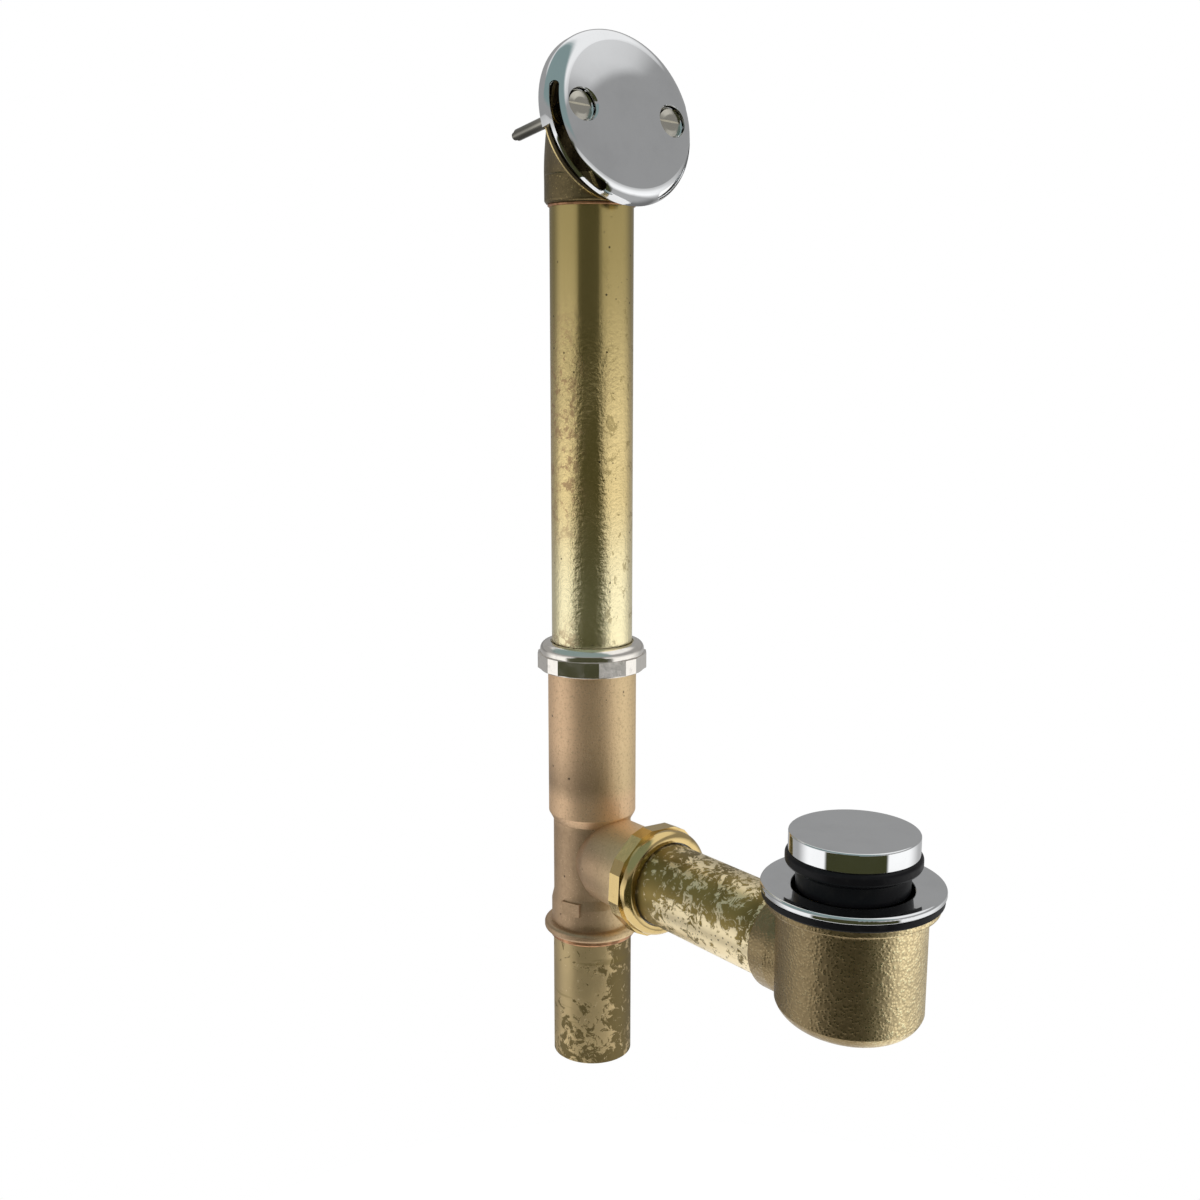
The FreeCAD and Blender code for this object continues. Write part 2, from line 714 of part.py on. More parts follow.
def elbow_loft(label, inset):
    """The elbow's outer or inner skin, in sections that fan out from the front of its foot."""
    grown = d.mouth_radius - d.rim_step - elbow_radius
    sections = []
    for index, (turn, deep, wide) in enumerate(ELBOW_SECTIONS):
        angle = plate_turn * turn
        half = elbow_radius + grown * deep
        across = elbow_radius + grown * wide
        front_x = elbow_radius + (mouth_low_x - elbow_radius) * turn
        front_z = bell_foot + (mouth_low_z - bell_foot) * turn
        sections.append(oval(f"{label}_{index}", half + OVAL_EASE - inset, across - inset,
                             x=front_x - half * cosine(angle),
                             z=front_z + half * sine(angle), turn=angle))
    loft = document.addObject("Part::Loft", label)
    loft.Sections = sections
    loft.Solid = True
    loft.Ruled = False
    return loft


def overflow_elbow():
    """The cast overflow elbow with its bell, wide mouth and two screw lugs."""
    rim_x = mouth_reach - d.mouth_rim * cosine(d.plate_tilt)
    rim_z = mouth_height - d.mouth_rim * sine(d.plate_tilt)
    skin = elbow_loft("elbow_skin", ZERO)
    rim = cylinder("elbow_rim", d.mouth_radius, d.mouth_rim, x=rim_x, z=rim_z, turn=plate_turn)
    hollow = elbow_loft("elbow_hollow", d.elbow_wall)
    mouth = cylinder("elbow_mouth", d.mouth_radius - d.elbow_wall, d.mouth_rim + OVERRUN * 5,
                     x=rim_x, z=rim_z, turn=plate_turn)
    shell = cut_from("elbow_shell", fused("elbow_outside", [skin, rim]),
                     fused("elbow_inside", [hollow, mouth]))
    bell = new_body("elbow_bell")
    turned(body=bell, label="elbow_bell_turned", corners=[
        (ZERO, bell_foot),
        (bell_radius, bell_foot, d.bell_round),
        (bell_radius, bell_foot + d.bell_height, d.bell_round / 2),
        (ZERO, bell_foot + d.bell_height),
    ])
    joined = fused("elbow_with_bell", [shell, bell])
    socket = cylinder("elbow_socket_bore", socket_radius, d.elbow_socket + OVERRUN,
                      z=bell_foot - OVERRUN)
    way = cylinder("elbow_waterway", tube_bore - d.way_step, d.bell_height + OVERRUN, z=bell_foot)
    trim = cylinder("elbow_foot_trim", bell_radius + d.bell_wall, OVERRUN * 2,
                    z=bell_foot - OVERRUN * 2)
    bores = fused("elbow_bores", [socket, way, trim])
    return lugs_on(cut_from("elbow_bored", joined, bores))


def screw_point(side, back):
    """A seat on a face screw's axis, some way behind the widest part of its head."""
    across = side * screw_offset
    down = across * sine(d.plate_roll)
    x = plate_reach + head_seat * cosine(d.plate_tilt) + down * sine(d.plate_tilt)
    z = plate_centre + head_seat * sine(d.plate_tilt) - down * cosine(d.plate_tilt)
    return {
        "x": x - back * cosine(d.screw_tilt),
        "y": across * cosine(d.plate_roll),
        "z": z - back * sine(d.screw_tilt),
        "turn": screw_turn,
    }


def lugs_on(shell):
    """Add the two drilled screw lugs inside the mouth."""
    lug_foot = head_seat + d.plate_gap + d.lug_back + d.lug_depth
    parts = [shell]
    holes = []
    for side, name in ((-1, "left"), (1, "right")):
        parts.append(cylinder(f"lug_{name}", d.lug_radius, d.lug_depth,
                              **screw_point(side, lug_foot)))
        holes.append(cylinder(f"lug_hole_{name}", d.screw_radius + d.screw_gap,
                              d.screw_length - head_seat, **screw_point(side, d.screw_length)))
    joined = fused("elbow_with_lugs", parts)
    return cut_from("overflow_elbow", joined, fused("lug_holes", holes))


def plate_side(inset, foot):
    """Half section of the dished plate, moved inwards by a wall."""
    radius = d.plate_radius - inset
    top_radius = d.plate_radius - d.plate_draft - inset
    shoulder = d.plate_height - d.plate_crown
    middle = (d.plate_radius - d.plate_round) / 2
    face = d.plate_height - d.plate_crown / 8 - inset
    return [
        (ZERO, foot),
        (radius, foot),
        (top_radius, shoulder - inset, d.plate_round - inset),
        (middle, face, d.plate_radius * 4),
        (ZERO, face),
    ]


def overflow_plate():
    """The domed face plate with side slots, relieved lower side and two screw recesses."""
    body = new_body("overflow_plate")
    turned(body, "plate_dish", plate_side(ZERO, ZERO))
    turned(body, "plate_hollow", plate_side(d.plate_sheet, -OVERRUN), cut=True)
    for side, name in ((-1, "left"), (1, "right")):
        centre = side * screw_offset
        turned(body, f"plate_boss_{name}", [
            (ZERO, recess_foot - d.plate_sheet / 2),
            (d.boss_radius - d.plate_sheet, recess_foot - d.plate_sheet / 2),
            (d.boss_radius, recess_face - d.plate_sheet / 2),
            (ZERO, recess_face - d.plate_sheet / 2),
        ], z=-centre)
        turned(body, f"plate_recess_{name}", [
            (ZERO, ZERO),
            (recess_hole, ZERO),
            (recess_hole, recess_foot),
            (d.recess_radius, recess_face - d.recess_depth),
            (d.recess_radius, recess_face, d.plate_sheet / 2),
            (d.recess_radius + d.plate_sheet, recess_face + d.plate_crown),
            (ZERO, recess_face + d.plate_crown),
        ], cut=True, z=-centre)
    plate_slots(body)
    plate_relief(body)
    seat(body, x=plate_reach, z=plate_centre, turn=plate_turn, roll=d.plate_roll)
    return body


def slot_spot():
    """Radius and height of the slot's middle on the plate's shoulder."""
    arc = d.plate_round - d.plate_sheet / 2
    radius = d.plate_radius - d.plate_draft - d.plate_round + arc * cosine(d.slot_place)
    height = d.plate_height - d.plate_crown - d.plate_round + arc * sine(d.slot_place)
    return radius, height


def plate_slots(body):
    """One round-ended slot in each side, cut along the shoulder."""
    # The plate's own +X points down when fitted and -Y is its left side
    plate_slot(body, "left", -90 - d.slot_upper)
    plate_slot(body, "right", 90 - d.slot_lower)


def plate_slot(body, name, start):
    """Cut one slot from its starting angle, and round its ends."""
    radius, height = slot_spot()
    half = d.slot_width / 2
    sweep = d.slot_upper + d.slot_lower
    sketch = attached(body, "Sketcher::SketchObject", f"plate_slot_sketch_{name}", "XZ_Plane")
    circle = Part.Circle(Vector(radius.value, height.value, 0), Vector(0, 0, 1), half.value)
    sketch.addGeometry(circle)
    sketch.addConstraint([
        Sketcher.Constraint("Radius", 0, half.value),
        Sketcher.Constraint("DistanceX", -1, 1, 0, 3, radius.value),
        Sketcher.Constraint("DistanceY", -1, 1, 0, 3, height.value),
    ])
    for index, size in enumerate((half, radius, height)):
        sketch.setExpression(f"Constraints[{index}]", size.text)
    sketch.AttachmentOffset = Placement(Vector(), Rotation(Vector(0, 1, 0), start.value))
    bind(sketch, "AttachmentOffset.Rotation.Angle", start)
    groove = body.newObject("PartDesign::Groove", f"plate_slot_{name}")
    groove.Profile = sketch
    groove.ReferenceAxis = (sketch, ["V_Axis"])
    bind(groove, "Angle", sweep)
    settle(body, groove, True)
    for end, angle in (("start", start), ("end", start + sweep)):
        ball = attached(body, "PartDesign::SubtractiveSphere", f"plate_slot_{name}_{end}",
                        "XY_Plane", x=radius * cosine(angle), y=radius * sine(angle), z=height)
        bind(ball, "Radius", half)
        settle(body, ball, True)


def plate_relief(body):
    """Cut the lower half of the plate's side back from the wall."""
    start = d.plate_radius * sine(d.relief_start)
    edge = d.plate_radius + OVERRUN
    sketch = outline(body, "plate_relief_sketch", [
        (start, -edge),
        (edge, -edge),
        (edge, edge),
        (start, edge),
    ], "XY_Plane", z=-OVERRUN)
    pocket = body.newObject("PartDesign::Pocket", "plate_relief")
    pocket.Profile = sketch
    pocket.Reversed = True
    bind(pocket, "Length", d.relief_depth + OVERRUN)
    settle(body, pocket, True)


def overflow_screw(label, side):
    """An oval-headed slotted screw through the plate into the elbow's lug."""
    body = new_body(label)
    shank = d.screw_radius
    cone_low = (shank - d.screw_head) / recess_slope
    tip = cone_low - d.screw_length
    turned_end = tip + d.screw_tip
    crown = d.screw_edge + d.screw_dome
    turned(body, f"{label}_turned", [
        (ZERO, tip),
        (shank * 0.72, tip, shank / 4),
        (shank * 0.72, turned_end),
        (shank, turned_end + shank * 0.28),
        (shank, cone_low),
        (d.screw_head, ZERO),
        (d.screw_head, d.screw_edge),
        (d.screw_head * 0.55, crown - d.screw_dome * 0.15, d.screw_head),
        (ZERO, crown),
    ])
    half = d.screw_slot / 2
    sketch = outline(body, f"{label}_slot_sketch", [
        (-half, -d.screw_head - OVERRUN),
        (half, -d.screw_head - OVERRUN),
        (half, d.screw_head + OVERRUN),
        (-half, d.screw_head + OVERRUN),
    ], "XY_Plane", z=crown - d.screw_slot_depth)
    pocket = body.newObject("PartDesign::Pocket", f"{label}_slot")
    pocket.Profile = sketch
    pocket.Reversed = True
    bind(pocket, "Length", d.screw_slot_depth + OVERRUN)
    settle(body, pocket, True)
    seat(body, roll=d.plate_roll, **screw_point(side, ZERO))
    return body


def waste_shoe():
    """The cast shoe: a cup whose rounded floor slopes down away from its round hub."""
    body = new_body("waste_shoe")
    floor = arm_height - d.shoe_drop
    rim_foot = shoe_face - d.shoe_rim_height
    turned(body, "shoe_cup", [
        (ZERO, floor - d.shoe_round),
        (d.shoe_radius - d.shoe_taper, floor - d.shoe_round),
        (d.shoe_radius, rim_foot, d.root_fillet),
        (d.shoe_rim_radius, rim_foot, d.shoe_rim_height / 3),
        (d.shoe_rim_radius, shoe_face, d.shoe_rim_height / 6),
        (ZERO, shoe_face),
    ])
    shoe_floor_round(body, floor)
    seat_x = d.shoe_hub_reach - d.shoe_hub_seat
    turned(body, "shoe_hub", [
        (-d.shoe_hub_reach, ZERO),
        (-d.shoe_hub_reach, d.shoe_hub_radius, d.root_fillet / 2),
        (-seat_x, d.shoe_hub_radius),
        (-(d.shoe_hub_root / 2), d.shoe_hub_root),
        (-(d.shoe_hub_root / 2), ZERO),
    ], axis="H_Axis", y=arm_height)
    floor_inside = floor + d.shoe_floor + d.shoe_radius * tangent(d.shoe_slope)
    turned(body, "shoe_chamber", [
        (ZERO, floor_inside),
        (chamber_radius, floor_inside, d.chamber_round),
        (chamber_radius, shoe_face + OVERRUN),
        (ZERO, shoe_face + OVERRUN),
    ], cut=True)
    passage_end = chamber_radius * SHOE_PASSAGE
    turned(body, "shoe_hub_bore", [
        (-d.shoe_hub_reach - OVERRUN, ZERO),
        (-d.shoe_hub_reach - OVERRUN, socket_radius),
        (-seat_x, socket_radius),
        (-seat_x, d.shoe_bore),
        (-passage_end, d.shoe_bore),
        (-passage_end, ZERO),
    ], axis="H_Axis", cut=True, y=arm_height)
    seat(body, x=d.drain_reach)
    return body


def shoe_floor_round(body, floor):
    """Shape the rounded floor about an axis that leans by the floor's slope."""
    outer = d.shoe_radius + d.shoe_taper
    sketch = outline(body, "shoe_floor_sketch", [
        (ZERO, -d.shoe_round),
        (outer, -d.shoe_round, d.shoe_round * 0.999),
        (outer, ZERO),
        (outer * 1.3, ZERO),
        (outer * 1.3, -d.shoe_round * 3),
        (ZERO, -d.shoe_round * 3),
    ], y=floor + d.shoe_round * cosine(d.shoe_slope))
    lean = Rotation(Vector(0, 0, -1), d.shoe_slope.value)
    sketch.AttachmentOffset = Placement(sketch.AttachmentOffset.Base, lean)
    bind(sketch, "AttachmentOffset.Rotation.Angle", d.shoe_slope)
    groove = body.newObject("PartDesign::Groove", "shoe_floor")
    groove.Profile = sketch
    groove.ReferenceAxis = (sketch, ["V_Axis"])
    groove.Angle = FULL_TURN
    settle(body, groove, True)


def drain_strainer():
    """The drain flange with its threaded barrel, four crossbars and centre boss."""
    body = new_body("drain_strainer")
    dish_foot = flange_top - d.flange_dish
    turned(body, "strainer_turned", [
        (d.throat_radius, barrel_foot),
        (barrel_radius, barrel_foot, d.drain_thread_gap),
        (barrel_radius, flange_foot),
        (d.flange_radius, flange_foot, d.flange_round / 3),
        (d.flange_radius, flange_top, d.flange_round),
        (d.flange_radius - d.flange_round * 3, flange_top),
        (d.throat_radius, dish_foot, d.throat_round),
    ])
    turned(body, "strainer_boss", [
        (ZERO, boss_foot),
        (d.boss_outer, boss_foot, d.spoke_height / 5),
        (d.boss_outer, boss_top, d.spoke_height / 5),
        (ZERO, boss_top),
    ])
    half = d.spoke_width / 2
    reach = d.throat_radius + d.throat_wall / 2
    spoke = padded(body, "strainer_spoke", [
        (ZERO, -half),
        (reach, -half),
        (reach, half),
        (ZERO, half),
    ], d.spoke_height, z=barrel_foot)
    pattern = body.newObject("PartDesign::PolarPattern", "strainer_spokes")
    pattern.Originals = [spoke]
    pattern.Axis = (spoke.Profile[0], ["N_Axis"])
    pattern.Angle = FULL_TURN
    pattern.Occurrences = SPOKES
    settle(body, pattern, False)
    hole = d.post_radius + d.post_thread_gap
    turned(body, "strainer_boss_hole", [
        (ZERO, boss_foot - OVERRUN),
        (hole, boss_foot - OVERRUN),
        (hole, boss_top + OVERRUN),
        (ZERO, boss_top + OVERRUN),
    ], cut=True)
    seat(body, x=d.drain_reach)
    return body


def stopper_post():
    """The fixed post on which the stopper slides."""
    body = new_body("stopper_post")
    head_top = post_head_foot + d.post_head
    turned(body, "post_turned", [
        (ZERO, boss_foot - d.post_tail),
        (d.post_radius, boss_foot - d.post_tail, d.post_radius / 5),
        (d.post_radius, boss_top),
        (d.post_collar_radius, boss_top),
        (d.post_collar_radius, boss_top + d.post_collar, d.post_collar / 4),
        (d.post_radius, boss_top + d.post_collar),
        (d.post_radius, post_head_foot),
        (post_head_radius, post_head_foot, d.stop_gap),
        (post_head_radius, head_top, d.stop_gap),
        (ZERO, head_top),
    ])
    seat(body, x=d.drain_reach)
    return body


def post_lock_nut():
    """A hexagon nut that locks the post under the boss."""
    body = new_body("post_lock_nut")
    step = FULL_TURN / LOCKNUT_SIDES
    corners = [polar(d.locknut_corner, index * step) for index in range(LOCKNUT_SIDES)]
    foot = boss_foot - d.locknut_height
    padded(body, "lock_nut_hexagon", corners, d.locknut_height, z=foot)
    hole = d.post_radius + d.post_thread_gap
    turned(body, "lock_nut_hole", [
        (ZERO, foot - OVERRUN),
        (hole, foot - OVERRUN),
        (hole, boss_foot + OVERRUN),
        (ZERO, boss_foot + OVERRUN),
    ], cut=True)
    seat(body, x=d.drain_reach)
    return body


def stopper_spring():
    """A helical spring between the post's head and the stopper barrel's closed end."""
    foot = post_head_foot + d.post_head + d.spring_wire / 2 + d.latch_gap / 2
    ceiling = guide_top - d.guide_ceiling - d.spring_wire / 2 - d.latch_gap / 2
    height = ceiling - foot
    helix = document.addObject("Part::Helix", "spring_path")
    helix.Angle = 0
    bind(helix, "Pitch", height / d.spring_turns)
    bind(helix, "Height", height)
    bind(helix, "Radius", d.spring_radius)
    seat(helix, x=d.drain_reach, z=foot)
    wire = document.addObject("Part::Circle", "spring_wire_section")
    bind(wire, "Radius", d.spring_wire / 2)
    wire.Placement = Placement(Vector(), Rotation(Vector(1, 0, 0), 90))
    bind(wire, "Placement.Base.x", d.drain_reach + d.spring_radius)
    bind(wire, "Placement.Base.z", foot)
    spring = document.addObject("Part::Sweep", "stopper_spring")
    spring.Sections = [wire]
    spring.Spine = (helix, [])
    spring.Solid = True
    spring.Frenet = True
    return spring


def stopper_barrel():
    """The stopper's sliding barrel, closed at its upper end."""
    body = new_body("stopper_barrel")
    turned(body, "barrel_turned", [
        (d.guide_bore, guide_foot),
        (d.guide_radius, guide_foot, d.stop_gap),
        (d.guide_radius, guide_top, d.stop_gap),
        (ZERO, guide_top),
        (ZERO, guide_top - d.guide_ceiling),
        (d.guide_bore, guide_top - d.guide_ceiling),
    ])
    seat(body, x=d.drain_reach)
    return body


def stopper_pieces():
    """Everything that travels with the stopper, apart from its barrel and spring."""
    stem_hole = d.post_radius + d.latch_gap
    inside = d.guide_bore - d.screwed_gap
    edge = d.stop_gap / 2
    ring("barrel_bush", stem_hole, inside, guide_foot, bush_top, edge, x=d.drain_reach)
    latch_foot = post_head_foot - d.stop_gap - d.latch_height
    ring("stopper_latch_ring", stem_hole, d.guide_bore - d.latch_gap, latch_foot,
         post_head_foot - d.stop_gap, edge, x=d.drain_reach)
    outside = d.guide_radius + d.screwed_gap
    ring("seal_retainer", outside, d.retainer_radius, lip_foot - d.retainer_height, lip_foot,
         d.retainer_height / 4, x=d.drain_reach)
    stopper_seal()
    stopper_cap(outside)


def stopper_seal():
    """The rubber seal: a thick bead under the cap and a lip that centres in the throat."""
    body = new_body("stopper_seal")
    inner = d.guide_radius + d.soft_gap
    bead_foot = seal_underside + d.seal_cone
    turned(body, "seal_turned", [
        (inner, lip_foot),
        (d.lip_radius, lip_foot, d.seal_round / 2),
        (d.lip_radius, seal_underside, d.seal_round / 2),
        (d.seal_radius, bead_foot, d.seal_round),
        (d.seal_radius, cap_foot, d.seal_round),
        (d.register_radius, cap_foot),
        (d.register_radius, cap_foot + d.seal_register),
        (inner, cap_foot + d.seal_register),
    ])
    seat(body, x=d.drain_reach)


def stopper_cap(socket):
    """The chromed stopper cap, recessed below for the seal and the barrel."""
    body = new_body("stopper_cap")
    register = d.register_radius + d.soft_gap
    turned(body, "cap_turned", [
        (register, cap_foot),
        (d.cap_radius, cap_foot, d.cap_round / 2),
        (d.cap_radius, cap_top, d.cap_round),
        (ZERO, cap_top),
        (ZERO, guide_top),
        (socket, guide_top),
        (socket, cap_foot + d.seal_register),
        (register, cap_foot + d.seal_register),
    ])
    seat(body, x=d.drain_reach)


def build_model():
    """Make every piece of the waste."""
    tailpiece()
    ring("tailpiece_braze_ring", tail_radius + d.slip_gap / 2, tube_radius + d.braze_reach,
         d.tail_exposed - d.braze_height, d.tail_exposed, d.braze_reach / 2)
    waste_tee()
    quarter = as_size(90.0)
    slip_joint("upper", UPPER_NUT_SPIN, ZERO, sleeve_face, ZERO)
    slip_joint("arm", ARM_NUT_SPIN, d.branch_reach, ZERO, quarter)
    tube_foot = sleeve_face - d.tube_entry
    tube("overflow_tube", bell_foot + d.elbow_socket - tube_foot, z=tube_foot)
    arm_start = d.branch_reach - d.arm_entry
    arm_end = d.drain_reach - d.shoe_hub_reach + d.shoe_hub_seat
    tube("waste_arm", arm_end - arm_start, x=arm_start, z=arm_height, turn=quarter)
    overflow_elbow()
    ring("elbow_solder_ring", tube_radius + d.slip_gap / 3, tube_radius + d.solder_reach,
         bell_foot - d.solder_drop - d.solder_height, bell_foot - d.solder_drop,
         d.solder_reach / 2)
    overflow_plate()
    overflow_screw("overflow_screw_left", -1)
    overflow_screw("overflow_screw_right", 1)
    waste_shoe()
    ring("drain_gasket", chamber_radius, d.gasket_radius, shoe_face, flange_foot,
         d.gasket_height / 4, x=d.drain_reach)
    drain_strainer()
    stopper_post()
    post_lock_nut()
    stopper_spring()
    stopper_barrel()
    stopper_pieces()


PIECES = (
    "overflow_plate",
    "overflow_screw_left",
    "overflow_screw_right",
    "overflow_elbow",
    "elbow_solder_ring",
    "overflow_tube",
    "upper_slip_nut",
    "upper_friction_ring",
    "upper_slip_washer",
    "waste_tee",
    "tailpiece",
    "tailpiece_braze_ring",
    "arm_slip_nut",
    "arm_friction_ring",
    "arm_slip_washer",
    "waste_arm",
    "waste_shoe",
    "drain_gasket",
    "drain_strainer",
    "stopper_post",
    "post_lock_nut",
    "stopper_spring",
    "stopper_barrel",
    "barrel_bush",
    "stopper_latch_ring",
    "seal_retainer",
    "stopper_seal",
    "stopper_cap",
)


def check_model():
    """Stop if any object failed or any piece is not one valid solid."""
    for item in document.Objects:
        if "Invalid" in item.State or "Error" in item.State:
            raise RuntimeError(f"{item.Label} did not recompute: {item.State}")
    for label in PIECES:
        shape = document.getObject(label).Shape
        if shape.isNull() or not shape.isValid() or len(shape.Solids) != 1:
            raise RuntimeError(f"{label} is not one valid solid")


def write_pieces():
    """Write each piece to its own file."""
    os.makedirs("parts", exist_ok=True)
    for label in PIECES:
        document.getObject(label).Shape.exportStep(f"parts/{label}.step")


build_model()
document.recompute()
check_model()
write_pieces()
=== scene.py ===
"""Looks of a brass bath waste and overflow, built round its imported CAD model."""

import math

import bmesh
import bpy
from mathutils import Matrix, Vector


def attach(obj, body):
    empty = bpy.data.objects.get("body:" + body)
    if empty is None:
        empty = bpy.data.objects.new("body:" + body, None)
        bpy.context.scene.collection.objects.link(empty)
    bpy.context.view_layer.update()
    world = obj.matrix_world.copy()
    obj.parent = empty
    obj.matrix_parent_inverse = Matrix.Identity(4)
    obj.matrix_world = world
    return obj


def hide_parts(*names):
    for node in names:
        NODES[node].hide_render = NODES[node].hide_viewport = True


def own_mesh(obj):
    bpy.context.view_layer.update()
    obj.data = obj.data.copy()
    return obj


bl_info = {
    "name": "Bath Waste and Overflow",
    "version": (1, 0, 0),
    "blender": (4, 5, 0),
    "location": "View3D > Sidebar > Bath Waste",
    "description": "Finishes of a brass bath waste and overflow",
    "category": "Object",
}

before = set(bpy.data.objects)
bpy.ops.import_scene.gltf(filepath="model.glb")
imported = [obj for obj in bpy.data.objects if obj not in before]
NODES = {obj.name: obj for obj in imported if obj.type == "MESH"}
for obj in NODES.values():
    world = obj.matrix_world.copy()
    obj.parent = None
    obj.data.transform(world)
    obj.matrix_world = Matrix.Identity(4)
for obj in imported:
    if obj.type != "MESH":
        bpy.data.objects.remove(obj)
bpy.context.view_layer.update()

CHROME_NODES = ("overflow_plate", "drain_strainer", "stopper_cap")
SCREW_NODES = ("overflow_screw_left", "overflow_screw_right")
MACHINED_NODES = ("stopper_post", "post_lock_nut", "stopper_barrel", "seal_retainer")
BRAZE_NODES = ("elbow_solder_ring", "tailpiece_braze_ring")
RUBBER_NODES = ("drain_gasket", "stopper_seal", "upper_slip_washer", "arm_slip_washer")
PLASTIC_NODES = ("upper_friction_ring", "arm_friction_ring", "barrel_bush", "stopper_latch_ring")

# Camera fitted to the tubes and circles of the part: degrees, metres and millimetres of lens
CAMERA_TURN = 51.885
CAMERA_RISE = 10.93
CAMERA_PLACE = (0.5309, -0.4117, 0.3576)
LENS = 43.375
SENSOR = 36.0
CLIP_NEAR = 0.05
CLIP_FAR = 20.0

# Middle of the waste, which the floor lies under and the lamps point at
MIDDLE = (0.06, 0.0, 0.24)
# Name, place, width and power of each lamp
LAMPS = (
    ("left_lamp", (-0.9, -1.2, 1.3), 1.2, 4.0),
    ("right_lamp", (1.3, 0.6, 1.2), 1.0, 3.0),
)

# Directions in the part's frame
UP = (0.0, 0.0, 1.0)
TO_DRAIN = (1.0, 0.0, 0.0)
# Across the tubes, from their browner side to their cleaner one, and across the shoe from its side
# in painted shade to its lit one
CLEAN_AND_LIT_SIDE = (math.cos(math.radians(52.0)), math.sin(math.radians(52.0)), 0.0)
# Where the tilted overflow plate faces
PLATE_FACES = (0.968, 0.0, 0.25)

# Places where a finish changes, in metres: heights along UP, sides along CLEAN_AND_LIT_SIDE and reaches
# along TO_DRAIN. A fade runs from where a change starts to where it is full, a belt has two ends,
# and SOFT is the half width of a belt's edge.

# Heights of the tube's paler foot, a painted highlight, and of its darker, browner head, a painted
# shade
TUBE_FOOT_HIGHLIGHT_FADE = (0.285, 0.225)
TUBE_HEAD_SHADE_FADE = (0.29, 0.40)
TUBE_STAIN_BELT = (0.262, 0.355)
TUBE_STAIN_SOFT = 0.02
TUBE_FOOT_STAIN_FADE = (0.228, 0.205)
TUBE_GREEN_BELT = (0.20, 0.37)
TUBE_RUBBED_BELT = (0.20, 0.35)
TUBE_BELT_SOFT = 0.03
TUBE_BROWN_SIDE_FADE = (0.002, -0.012)
TUBE_CLEAN_SIDE_FADE = (-0.002, 0.012)

TAILPIECE_OLIVE_SIDE_FADE = (0.003, 0.015)
TAILPIECE_OLIVE_FOOT_FADE = (0.055, 0.01)

# The arm's crest and the underside of its far end get extra pale spots, which there are painted
# highlight
ARM_CREST_HIGHLIGHT_FADE = (0.113, 0.119)
ARM_UNDERSIDE_FADE = (0.112, 0.100)
ARM_FAR_FADE = (0.055, 0.09)
ARM_NEAR_FADE = (0.075, 0.05)

TEE_SLEEVE_FADE = (0.135, 0.165)
TEE_YELLOW_SIDE_FADE = (-0.004, 0.018)
# Belt round the tee's neck that a painted highlight lightens
TEE_NECK_HIGHLIGHT_BELT = (0.122, 0.137)
TEE_NECK_HIGHLIGHT_SOFT = 0.005

# Side of the shoe that is painted in shade
SHOE_SHADED_SIDE_FADE = (0.120, 0.099)

# Depths in metres behind the front of the elbow's rim, along PLATE_FACES: both ends of the painted
# highlight line on the rim's bare brass, the fade to the painted shadow in the mouth, and the
# length over which a screw's shank fades into painted shade
RIM_HIGHLIGHT_LINE = (0.0050, 0.0042)
RIM_HIGHLIGHT_SOFT = 0.0003
MOUTH_SHADOW_FADE = (0.0046, 0.0042)
SHADED_SHANK = 0.03

# The room that only reflections show. A turn is in radians, from the way back to the camera
# towards its right, and a rise is the upward part of a direction, from -1 to 1.

# Rise and brightness of the soft boxes, the horizon and the ceiling, with both ends first
BOX_LEVELS = (
    (-1.0, 0.45),
    (1.0, 1.0),
    (-0.55, 0.45),
    (-0.35, 1.2),
    (-0.15, 1.05),
    (0.0, 0.72),
    (0.11, 0.60),
    (0.12, 0.35),
    (0.55, 0.35),
    (0.585, 0.68),
    (0.70, 1.0),
)
BRIGHTEST = 1.2
# Turns over which the boxes grow dim behind the part, and the share of light left there
RIGHT_END_FADE = (1.6, 2.4)
RIGHT_END_SHARE = 0.42
LEFT_END_FADE = (-1.6, -2.2)
LEFT_END_SHARE = 0.35
# Rise above which they keep all their light
BOX_TOP_FADE = (0.10, 0.12)
# Dark aisle between the boxes: turns of its sides, how much wider each gets low down, and rises
AISLE_LEFT = 0.66
AISLE_RIGHT = 0.42
AISLE_LEFT_SPREAD = 0.39
AISLE_RIGHT_SPREAD = 0.45
AISLE_SOFT = 0.06
AISLE_LOW_FADE = (0.02, -0.28)
AISLE_TOP_FADE = (0.22, 0.12)
AISLE_COLOUR = (0.041, 0.043, 0.018)
# Blue-green light high on one side, which the plate's shoulder shows: the side it is on, and the
# fades towards that side, upwards and towards the drain
SKYLIGHT_SIDE = (0.0, -1.0, 0.0)
SKYLIGHT_SIDE_FADE = (-0.22, 0.0)
SKYLIGHT_RISE_FADE = (0.26, 0.42)
SKYLIGHT_DRAIN_FADE = (-0.77, -0.71)
SKYLIGHT_COLOUR = (0.20, 0.27, 0.27)
WHITE = (1.0, 1.0, 1.0, 1.0)


# Settings


def tint(name, description, default):
    """A colour setting."""
    return bpy.props.FloatVectorProperty(
        name=name,
        description=description,
        subtype="COLOR",
        size=3,
        min=0.0,
        max=1.0,
        default=default,
    )


